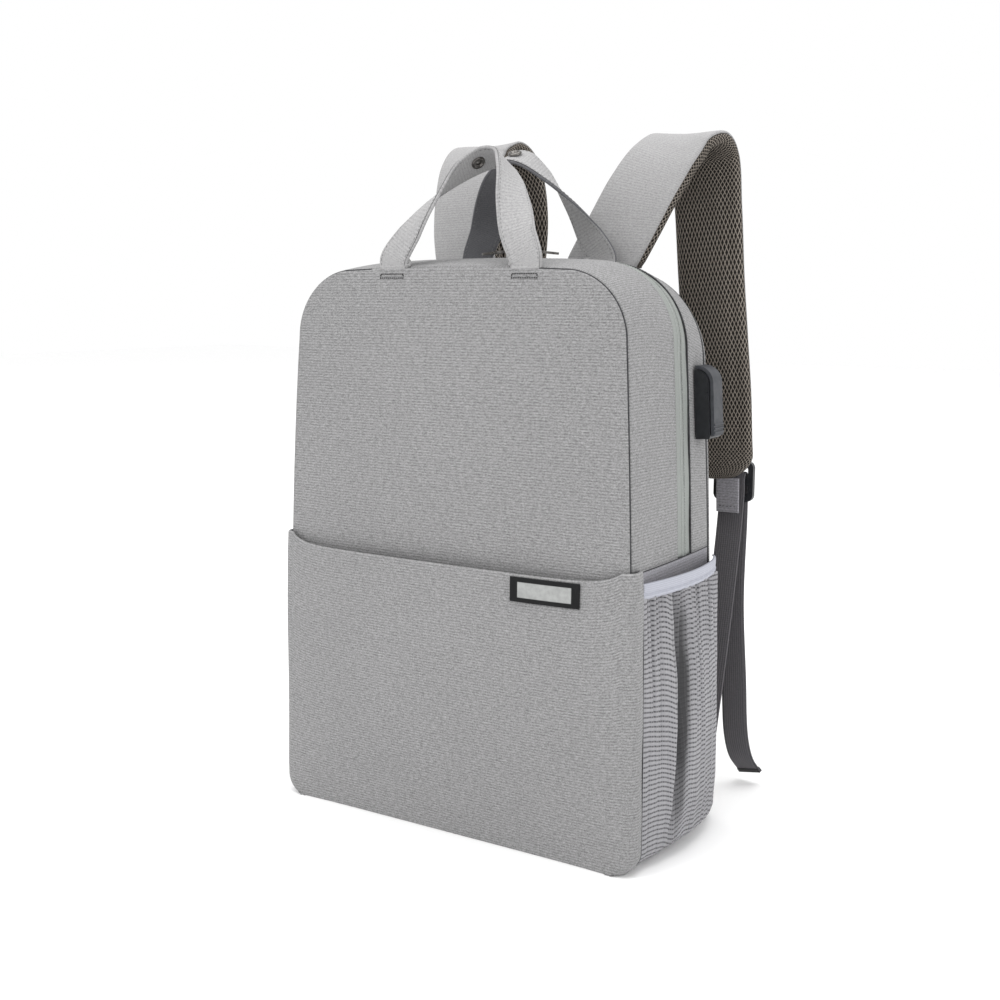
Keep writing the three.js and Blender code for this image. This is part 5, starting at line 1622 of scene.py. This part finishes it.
@dataclass
class CarryHandle:
    """A carrying handle: canvas outside, dark lining inside, with a snap button."""

    word: str
    foot_y: float
    apex_y: float
    to_front: int
    snap_at: float
    snap_face: int
    lining_to: float
    width: float = 24.0
    thickness: float = 3.0
    half_span: float = 52.8
    centre_x: float = 4.0
    rise: float = 74.0
    sunk: float = 3.0
    edge: float = 0.06
    stitch_inset: float = 2.4
    box_inset: float = 2.5
    box_height: float = 2.6
    stations: Rows = (
        (-1.0, 0.0, 0.0, 0.0),
        (-0.995, 0.06, 0.0, 0.01),
        (-0.81, 0.3, 0.1, 0.1),
        (-0.6, 0.6, 0.38, 0.38),
        (-0.37, 0.87, 0.74, 0.78),
        (-0.12, 0.99, 0.97, 0.98),
        (0.12, 0.98, 0.97, 1.02),
        (0.38, 0.82, 0.72, 1.25),
        (0.64, 0.54, 0.34, 1.62),
        (0.84, 0.27, 0.08, 1.9),
        (0.995, 0.06, 0.0, 1.99),
        (1.0, 0.0, 0.0, 2.0),
    )

    def top_height(self, x: float, y: float) -> float:
        """Returns the height of the bag's top under a point."""
        share = BAG.share(y, BAG.seam_height)
        flat = BAG.half_width(BAG.corner_start(share), share) - BAG.radius(share)
        return BAG.outline(6 - clamp(abs(x) / flat), share)[1]

    def curve(self) -> Curve:
        """Works out the handle's curve.

        Returns:
            The curve, with the ribbon's width turning as the handle rises.
        """
        inner = self.half_span - self.width / 2
        edges = [self.foot_y - self.thickness / 2, self.foot_y + self.thickness / 2]
        foot_z = max(self.top_height(inner, y) for y in edges) + 2 * BAG.gap
        lean = math.atan2(abs(self.apex_y - self.foot_y), self.rise)
        across = Vector((0, -math.cos(lean), self.to_front * math.sin(lean)))
        points, widths = [], []
        for span, rise, way, turn in self.stations:
            x = self.centre_x + span * self.half_span
            points.append(Vector((x, lerp(self.foot_y, self.apex_y, way), foot_z + rise * self.rise)))
            angle = turn * math.pi / 2
            widths.append(Vector((self.to_front * math.cos(angle), 0, 0)) + across * math.sin(angle))
        return Curve(points, widths)

    def lay(self, share: float, across: float, out: float) -> Vector:
        """Returns a point of the handle. Its feet reach down into the seam."""
        foot = smooth(1 - min(share, 1 - share) / 0.02)
        point = self.curve_made.lay(share, across, out)
        return point - Vector((0, 0, self.sunk * foot))

    def ribbon(self) -> None:
        """Makes the handle's cloth."""
        self.curve_made = self.curve()
        length = self.curve_made.length()

        def place(u: float, v: float) -> Vector:
            """Returns a point of the outer face, its edges folded over."""
            across = off_middle(u, self.edge, self.width)
            rim = self.width / 2 - abs(across)
            soft = wrinkle(Vector((across, v * 300, 5.0)), 16.0, 0.35)
            groove = 0.28 * bell(rim, self.stitch_inset, 0.5)
            return self.lay(v, across, -(self.thickness / 2 - rolled(rim, 1.3) - groove + soft))

        flat = lambda u, v: (edge_share(u, self.edge) * self.width, v * length)
        facing = -self.curve_made.frame(0.5)[2]
        finishes = [STRAP_CANVAS, HANDLE_LINING] if self.lining_to > 0 else [STRAP_CANVAS]
        name = f"handle_{self.word}_cloth"
        sheet = Sheet(name, place, flat, 26, 170, facing, finishes, self.thickness * 0.85)
        if self.lining_to > 0:
            sheet.paint = lambda u, v: 1 if v < self.lining_to or min(u, 1 - u) < 0.05 else 0
        settle(sheet.make(), f"handle_{self.word}", "canvas")

    def stitches(self) -> None:
        """Makes a row of stitches along each edge, on both faces."""
        for number, edge in enumerate((-1, 1)):
            for face_word, out in (("outer", -1), ("inner", 1)):

                def path(t: float, edge: int = edge, out: int = out) -> tuple[Vector, Vector]:
                    """Returns a point of the row of stitches and the direction out of the cloth."""
                    share = lerp(0.012, 0.988, t)
                    stand = self.thickness / 2 - (0.15 if out < 0 else 0.35)
                    point = self.lay(share, edge * (self.width / 2 - self.stitch_inset), out * stand)
                    return point, self.curve_made.frame(share)[2] * out

                name = f"handle_{self.word}_stitches_{face_word}_{number}"
                StitchRun(name, path, THREAD, "canvas", 3.2, 2.3, 0.24, 240).make()

    def snap(self) -> None:
        """Makes the snap button: a ring with a sunk centre and a small stud."""
        stud = [(0.0, 0.7), (1.1, 0.7), (1.3, 0.25), (2.4, 0.25)]
        profile = stud + [(2.9, 1.35), (3.8, 1.6), (4.6, 1.2), (5.0, 0.2)]
        bm = bmesh.new()
        points = [bm.verts.new((radius, 0, height)) for radius, height in profile]
        edges = [bm.edges.new(pair) for pair in zip(points, points[1:])]
        whole = {"cent": (0, 0, 0), "axis": UPWARD, "angle": 2 * math.pi, "steps": 32}
        bmesh.ops.spin(bm, geom=points + edges, use_merge=True, **whole)
        bmesh.ops.remove_doubles(bm, verts=bm.verts, dist=0.001)
        bmesh.ops.recalc_face_normals(bm, faces=bm.faces)
        centre, _, face, _ = self.curve_made.frame(self.snap_at)
        out = face * -self.snap_face
        seat = Matrix.Translation(centre + out * (self.thickness / 2 + 0.2))
        turn = UPWARD.rotation_difference(out).to_matrix().to_4x4()
        bmesh.ops.transform(bm, matrix=seat @ turn, verts=bm.verts)
        bm.normal_update()
        if sum(face.normal.dot(out) for face in bm.faces) < 0:
            bmesh.ops.reverse_faces(bm, faces=bm.faces)
        made = finished_object(f"snap_ring_{self.word}", bm, [DARK_METAL])
        settle(made, f"snap_{self.word}", "metal")

    def bartacks(self) -> None:
        """Makes the box of stitches under each of the front handle's feet."""
        if self.to_front < 0:
            return
        half = self.width / 2 - self.box_inset
        corners = [(-half, 0), (half, 0), (half, -self.box_height), (-half, -self.box_height), (-half, 0)]
        for number, sign in enumerate((-1, 1)):
            centre = self.centre_x + sign * self.half_span

            def path(t: float, centre: float = centre) -> tuple[Vector, Vector]:
                """Returns a point of the box of stitches and the direction out of the panel."""
                at = t * 4
                low = min(int(at), 3)
                (x0, z0), (x1, z1) = corners[low], corners[low + 1]
                x = centre + lerp(x0, x1, at - low)
                z = BAG.seam_height - self.box_height + lerp(z0, z1, at - low)
                return Vector((x, BAG.front_face(x, z) - 0.25, z)), FRONTWARD

            name = f"bartack_{self.word}_{number}"
            StitchRun(name, path, DARK_THREAD, "canvas", 1.7, 1.5, 0.45, 80).make()

    def build(self) -> None:
        """Builds the handle."""
        self.ribbon()
        self.stitches()
        self.snap()
        self.bartacks()


# Each row is a station of the strap's curve: its rise, its way back and its cut, then how far it lies out
# and its yaw in degrees, on the right and on the left.
STRAP_ROWS = (
    (0.024, 0, 1, -0.19, 0, 0.1, 0),
    (0.07, 0, 1, -0.155, 0, 0.1, 0),
    (0.36, 0.06, 0.8, 0.09, 1, 0.19, 1),
    (0.64, 0.15, 0.4, 0.32, 1, 0.22, 1),
    (0.86, 0.3, 0.1, 0.52, 0, 0.23, 0),
    (0.98, 0.5, 0, 0.66, -2, 0.2, -2),
    (0.98, 0.72, 0, 0.76, -4, 0.12, -4),
    (0.86, 0.89, 0, 0.8, -6, 0.02, -5),
    (0.5, 0.98, 0, 0.83, -8, -0.06, -6),
    (-0.02, 1, 0, 0.89, -8, 0.02, -8),
    (-0.33, 1, 0, 0.97, -7, 0.25, -8),
    (-0.6, 1, 0, 1.04, -6, 0.56, -7),
    (-0.85, 1, 0, 1.08, -5, 0.84, -5),
    (-1, 0.98, 0, 1.12, -4, 1.02, -4),
)


@dataclass
class ShoulderStrap:
    """A shoulder strap: a mesh pad, a canvas cover, and the tab, webbing and anchor at its lower end."""

    side: Side
    width: float = 57.0
    pad: float = 8.5
    cover: float = 1.8
    rise: float = 95.0
    reach: float = 61.0
    drop: float = 150.0
    root_x: float = 60.0
    root_lap: float = 2.3
    skin_gap: float = 0.6
    end_round: float = 0.06
    webbing_width: float = 20.0
    webbing_thickness: float = 1.6
    hem: float = 9.0
    tail_reach: float = 13.0
    tail_shift: float = 14.0
    tail_end: float = 9.0
    lock_height: float = 30.0
    lock_thickness: float = 4.0
    lock_bar: float = 4.5
    lock_offset: float = 0.1
    lock_clearance: float = 1.0
    tab_width: float = 18.0
    tab_length: float = 24.0
    tab_thickness: float = 2.2
    anchor_height: float = 26.0
    anchor_centre: float = 34.0
    anchor_reach: float = 16.0
    anchor_thickness: float = 3.0
    pad_pressure: float = 3.0
    pad_cap: float = 1.2
    cover_edge: float = 0.05
    webbing_edge: float = 0.04
    tab_edge: float = 0.06

    def curve(self) -> Curve:
        """Works out the strap's curve.

        Returns:
            The curve from the top seam over the crest to the pad's lower end.
        """
        sign = self.side.value
        top = BAG.seam_height
        seat = BAG.rear_y(top) - BAG.back_pad + BAG.gap + self.skin_gap + self.cover + self.root_lap
        points, widths, levels = [], [], []
        first = 3 if self.side is Side.RIGHT else 5
        for row in STRAP_ROWS:
            up, back, level = row[:3]
            out, yaw = row[first : first + 2]
            x = sign * (self.root_x + out * self.width)
            z = top + up * (self.rise if up > 0 else self.drop)
            points.append(Vector((x, seat + back * self.reach, z)))
            angle = math.radians(sign * yaw)
            widths.append(Vector((math.cos(angle), math.sin(angle), 0)))
            levels.append(level)
        return Curve(points, widths, levels)

    def width_at(self, share: float) -> float:
        """Returns the strap's width at a share of its length: it narrows to a round lower end."""
        rest = clamp((1 - share) / self.end_round)
        taper = 1 - 0.06 * smooth((share - 0.5) * 2)
        return self.width * taper * (0.3 + 0.7 * (1 - (1 - rest) ** 2) ** 0.75)

    def pad_cloth(self) -> None:
        """Makes the padded mesh body of the strap and puffs it."""
        curve = self.curve_made
        length = curve.length()
        corner = self.pad / 2
        nominal = 2 * (self.width - self.pad) + math.pi * self.pad

        def along(v: float) -> float:
            """Returns the share of the curve at a grid line, with more lines at the round end."""
            return v if v < 0.9 else lerp(0.9, 1.0, 1 - (1 - (v - 0.9) / 0.1) ** 1.6)

        def place(u: float, v: float) -> Vector:
            """Returns a point of the pad's skin: u goes round its section."""
            share = along(v)
            straight = self.width_at(share) - self.pad
            turn = math.pi * corner
            distance = ((u + 0.25) % 1.0) * 2 * (straight + turn) - straight / 2
            half = 1 if distance < straight / 2 + turn else -1
            rest = distance if half > 0 else distance - straight - turn
            thin = lerp(0.5, 1.0, math.sqrt(clamp((1 - share) / 0.015)))
            angle = clamp((rest - straight / 2) / corner, 0.0, math.pi)
            across = half * (min(rest, straight / 2) + corner * math.sin(angle))
            out = half * corner * math.cos(angle) * thin
            return curve.lay(share, across, out - corner)

        def flat(u: float, v: float) -> tuple[float, float]:
            """Returns the point's place on the flat mesh."""
            return u * nominal, along(v) * length

        def hold(u: float, v: float) -> float:
            """Returns 1 for the points along both edges, which the seam holds."""
            return 1.0 if abs(math.sin(2 * math.pi * u)) > 0.95 or min(v, 1 - v) < 0.02 else 0.0

        name = f"strap_pad_mesh_{self.side.word}"
        made = Sheet(name, place, flat, 56, 150, UPWARD, [AIR_MESH], 0, hold, True).make()
        puff(made, self.pad_pressure, self.pad_cap)
        round_off(made)
        settle(made, f"strap_pad_{self.side.word}", "air_mesh")

    def cover_cloth(self) -> None:
        """Makes the canvas that covers the strap's outer face."""
        curve = self.curve_made
        length = curve.length()

        def place(u: float, v: float) -> Vector:
            """Returns a point of the cover, its edges turned down to the pad."""
            share = edge_share(u, self.cover_edge)
            width = self.width_at(v) - self.pad * 0.45
            across = (share - 0.5) * width
            rim = width / 2 - abs(across)
            crown = 0.8 * (1 - (2 * share - 1) ** 4)
            soft = wrinkle(Vector((across, v * 450, 2.0)), 22.0, 0.35) * smooth(rim / 6)
            out = self.skin_gap + self.cover - 0.8 + crown - rolled(rim, 2.0) * 0.9 + soft
            return curve.lay(v, across, out)

        flat = lambda u, v: (edge_share(u, self.cover_edge) * self.width, v * length)
        facing = curve.frame(0.5)[2]
        sheet = Sheet(f"strap_canvas_{self.side.word}", place, flat, 40, 170, facing, [STRAP_CANVAS], 0.9)
        settle(sheet.make(), f"strap_cover_{self.side.word}", "canvas")

    def hardware_place(self) -> dict[str, float]:
        """Works out where the tab, the lock and the webbing go, from the pad's lower end.

        Returns:
            Their places in millimetres, by name.
        """
        centre, width, _, _ = self.curve_made.frame(1.0)
        x = centre.x + self.side.value * self.width * self.lock_offset
        lock_y = centre.y + self.skin_gap + self.cover + self.lock_clearance
        lock_y += self.webbing_thickness + self.lock_thickness / 2
        fall = [(x + side * self.tab_width / 2 - centre.x) * (width.z / width.x) for side in (-1, 1)]
        return {
            "x": x,
            "pad_end": centre.z + min(fall),
            "pad_front": centre.y - self.pad,
            "lock_y": lock_y,
            "lock_z": centre.z - 2,
        }

    def tab(self, place: dict[str, float]) -> None:
        """Makes the tab that hangs from the pad's end, with its cross stitch."""
        front = place["pad_front"] + self.pad * 0.4
        high = place["pad_end"] + 2.0
        low = place["pad_end"] - self.tab_length
        points = [
            Vector((place["x"], front, high)),
            Vector((place["x"], front + 0.6, lerp(high, low, 0.5))),
            Vector((place["x"], front + 1.6, low)),
        ]
        curve = Curve(points, [Vector((1, 0, 0))] * 3)
        sign = 1 if curve.frame(0.5)[2].dot(FRONTWARD) > 0 else -1

        def spot(u: float, v: float) -> Vector:
            """Returns a point of the tab's front face."""
            across = off_middle(u, self.tab_edge, self.tab_width)
            rim = min(self.tab_width / 2 - abs(across), (1 - v) * self.tab_length + 0.01)
            return curve.lay(v, across, sign * (self.tab_thickness / 2 - rolled(rim, 0.9)))

        flat = lambda u, v: (edge_share(u, self.tab_edge) * self.tab_width, v * self.tab_length)
        sheet = Sheet(f"strap_tab_cloth_{self.side.word}", spot, flat, 20, 40, FRONTWARD, [LINING], 1.9)
        settle(sheet.make(), f"strap_tab_{self.side.word}", "lining")

        def path(t: float) -> tuple[Vector, Vector]:
            """Returns a point of the row of stitches and the direction out of the tab."""
            point = curve.lay(0.82, (t - 0.5) * (self.tab_width - 4), sign * self.tab_thickness / 2)
            return point, FRONTWARD

        StitchRun(f"tab_stitches_{self.side.word}", path, DARK_THREAD, "lining", 2.6, 2.0, 0.3, 20).make()

    def anchor_tip(self) -> Vector:
        """Returns the tip of the anchor tab, where the webbing is sewn to it."""
        z = self.anchor_centre
        x = self.side.value * (BAG.base_half_rear - self.anchor_reach * 0.6)
        inner = abs(x) - self.webbing_width / 2 - 1
        y = BAG.back_face(inner, z + self.anchor_height / 2) + BAG.gap + self.anchor_thickness
        return Vector((x, y, z))

    def webbing_curve(self, place: dict[str, float]) -> Curve:
        """Works out the webbing's way: up from its anchor, through the lock and down as a free tail.

        Args:
            place: The hardware's places.

        Returns:
            The curve.
        """
        sign = self.side.value
        slot = place["lock_z"] + (self.lock_bar + (self.lock_height - 3 * self.lock_bar) / 2) / 2
        half = self.lock_thickness / 2 + BAG.gap + self.webbing_thickness / 2
        front, back = place["lock_y"] - half, place["lock_y"] + half
        tip = self.anchor_tip()
        foot_y = tip.y + BAG.gap + self.webbing_thickness / 2
        slack = 3.0
        points = []
        for share in (0, 0.3, 0.6, 0.9):
            y = lerp(foot_y, front, share) + slack * math.sin(math.pi * share)
            z = lerp(self.anchor_centre, slot - self.lock_height * 0.75, share)
            points.append(Vector((lerp(tip.x, place["x"], share), y, z)))
        high, end = place["lock_z"], self.tail_end
        way = (
            (0, front, slot - self.lock_height * 0.45),
            (0, front, slot - 3.2),
            (0, place["lock_y"], slot),
            (0, back, slot - 3.2),
            (0, back, slot - self.lock_height * 0.45),
            (0, back + 0.5, high - self.lock_height * 0.9),
            (0, back - 1, lerp(end, high, 0.6)),
            (0.3, back - 2, lerp(end, high, 0.34)),
            (0.5, back - 1, lerp(end, high, 0.14)),
            (0.7, back + self.tail_reach * 0.3, end + self.tail_reach),
            (1, back + self.tail_reach, end),
        )
        points += [Vector((place["x"] + sign * self.tail_shift * shift, y, z)) for shift, y, z in way]
        return Curve(points, [Vector((1, 0, 0))] * len(points))

    def webbing(self, place: dict[str, float]) -> None:
        """Makes the webbing with its folded hem."""
        curve = self.webbing_curve(place)
        length = curve.length()
        hem_start = 1 - self.hem / length * 0.9
        word = self.side.word

        def lay(start: float, thickness: float, grow: float, name: str, finish: Finish) -> bpy.types.Object:
            """Makes one stretch of the webbing, down to its free end.

            Args:
                start: Where it starts, as a share of the curve.
                thickness: Its thickness in millimetres.
                grow: How much wider it is than the webbing.
                name: The object's name.
                finish: Its finish.

            Returns:
                The object.
            """
            width = self.webbing_width + grow

            def spot(u: float, v: float) -> Vector:
                """Returns a point of the stretch's face."""
                across = off_middle(u, self.webbing_edge, width)
                rim = width / 2 - abs(across)
                return curve.lay(lerp(start, 1, v), across, thickness / 2 - rolled(rim, 0.6))

            flat = lambda u, v: (edge_share(u, self.webbing_edge) * width, lerp(start, 1, v) * length)
            facing = curve.frame(lerp(start, 1, 0.5))[2]
            rows = 12 if start > 0.5 else 220
            return Sheet(name, spot, flat, 20, rows, facing, [finish], thickness * 0.9).make()

        strip = lay(0, self.webbing_thickness, 0, f"webbing_strip_{word}", WEBBING)
        settle(strip, f"webbing_{word}", "webbing")
        settle(lay(hem_start, 3.0, 0.4, f"webbing_hem_{word}", HEM), "", "webbing")

    def anchor(self) -> None:
        """Makes the anchor tab on the back panel."""
        tip = self.anchor_tip()
        inner = self.webbing_width / 2 + 1
        base = tip.z - self.anchor_height / 2 + 2
        half = self.anchor_height / 2

        def spot(u: float, v: float) -> Vector:
            """Returns a point of the anchor's outer face."""
            z = lerp(-half, half, v)
            narrow = smooth((z - half * 0.4) / (half * 0.6)) * 0.4
            reach = inner * (1 - narrow)
            across = off_middle(u, self.tab_edge, 2 * reach)
            rim = min(reach - abs(across), half - z + 0.01)
            return Vector((tip.x + across, tip.y - rolled(rim, 1.2), base + z))

        flat = lambda u, v: (edge_share(u, self.tab_edge) * inner * 2, v * self.anchor_height)
        name = f"anchor_cloth_{self.side.word}"
        sheet = Sheet(name, spot, flat, 24, 30, REARWARD, [LINING], self.anchor_thickness * 0.85)
        settle(sheet.make(), f"anchor_{self.side.word}", "lining")

    def build(self) -> None:
        """Builds the strap and what hangs from it."""
        self.curve_made = self.curve()
        self.pad_cloth()
        self.cover_cloth()
        place = self.hardware_place()
        self.tab(place)
        self.webbing(place)
        self.anchor()


@dataclass
class Fittings:
    """The hard CAD pieces that keep their shape and get their finishes here."""

    single: tuple = (("port_housing", PLASTIC), ("port_cover", RUBBER))
    paired: tuple = (("slider", METAL), ("pull", DARK_METAL), ("ladder_lock", PLASTIC))

    def build(self) -> None:
        """Gives each hard piece its finish."""
        paired = [(f"{word}_{side.word}", finish) for word, finish in self.paired for side in Side]
        for name, finish in (*self.single, *paired):
            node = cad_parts[name]
            for slot in node.material_slots:
                slot.link = "OBJECT"
                slot.material = finish.material()
            log.info("%s: %s", name, finish.name)


@dataclass
class Studio:
    """The camera, a pale floor and soft light."""

    azimuth: float = 32.3047
    elevation: float = 8.9479
    roll: float = 0.2268
    lens: float = 47.86
    position: tuple[float, float, float] = (505.248, -797.755, 375.564)
    floor_size: float = 12.0

    def camera(self) -> None:
        """Sets the camera where the photograph was taken from."""
        azimuth, elevation, roll = (math.radians(a) for a in (self.azimuth, self.elevation, self.roll))
        ahead = Vector((-math.sin(azimuth), math.cos(azimuth), 0)) * math.cos(elevation)
        ahead.z = -math.sin(elevation)
        level = Vector((math.cos(azimuth), math.sin(azimuth), 0))
        upright = level.cross(ahead)
        right = level * math.cos(roll) + upright * math.sin(roll)
        up = upright * math.cos(roll) - level * math.sin(roll)
        data = bpy.data.cameras.new("Camera")
        data.sensor_width = 36.0
        data.lens = self.lens
        data.clip_end = 50.0
        camera = placed("Camera", data)
        turn = Matrix((right, up, -ahead)).transposed().to_4x4()
        camera.matrix_world = Matrix.Translation(Vector(self.position) * MM) @ turn
        bpy.context.scene.camera = camera

    def floor(self) -> None:
        """Lays the floor."""
        bm = bmesh.new()
        bmesh.ops.create_grid(bm, x_segments=1, y_segments=1, size=self.floor_size / 2)
        mesh = bpy.data.meshes.new("floor")
        bm.to_mesh(mesh)
        bm.free()
        made = bpy.data.materials.new("floor_white")
        made.use_nodes = True
        shader = made.node_tree.nodes["Principled BSDF"]
        shader.inputs["Base Color"].default_value = (0.98, 0.98, 0.98, 1.0)
        shader.inputs["Roughness"].default_value = 0.9
        mesh.materials.append(made)
        floor = placed("floor", mesh)

    def lamp(self, name: str, place: tuple[float, float, float], power: float, size: float) -> None:
        """Hangs a square soft light that looks at the bag.

        Args:
            name: The light's name.
            place: Where it hangs, in metres.
            power: Its power in watts.
            size: The length of its side in metres.
        """
        data = bpy.data.lights.new(name, "AREA")
        data.energy = power
        data.size = size
        light = placed(name, data)
        aim = Vector((0, 0, 0.2)) - Vector(place)
        turn = aim.to_track_quat("-Z", "Y").to_matrix().to_4x4()
        light.matrix_world = Matrix.Translation(Vector(place)) @ turn

    def build(self) -> None:
        """Sets up the studio."""
        self.camera()
        self.floor()
        world = bpy.data.worlds.new("Studio")
        world.use_nodes = True
        sky = world.node_tree.nodes["Background"]
        sky.inputs["Color"].default_value = (1.0, 1.0, 1.0, 1.0)
        sky.inputs["Strength"].default_value = 1.0
        bpy.context.scene.world = world
        bpy.context.scene.view_settings.view_transform = "Standard"
        self.lamp("key", (-1.2, -2.0, 2.6), 26.0, 1.4)
        self.lamp("top", (0.1, 0.0, 2.6), 30.0, 1.6)
        self.lamp("side", (2.6, -0.8, 1.4), 12.0, 1.8)


def main() -> None:
    """Builds the studio and the bag, piece by piece."""
    logging.basicConfig(level=logging.INFO, format="%(name)s: %(message)s")
    Studio().build()
    BagBody().build()
    SlipPocket().build()
    for side in Side:
        KnitPocket(side).build()
    front_foot = BAG.front_y(BAG.seam_height) + 1.5
    CarryHandle("front", front_foot, -13.0, 1, 0.42, 1, 0.0).build()
    CarryHandle("rear", 44.0, 13.0, -1, 0.5, -1, 0.45).build()
    for side in Side:
        ShoulderStrap(side).build()
    Fittings().build()
    log.info("the bag is built")


if __name__ == "__main__":
    main()
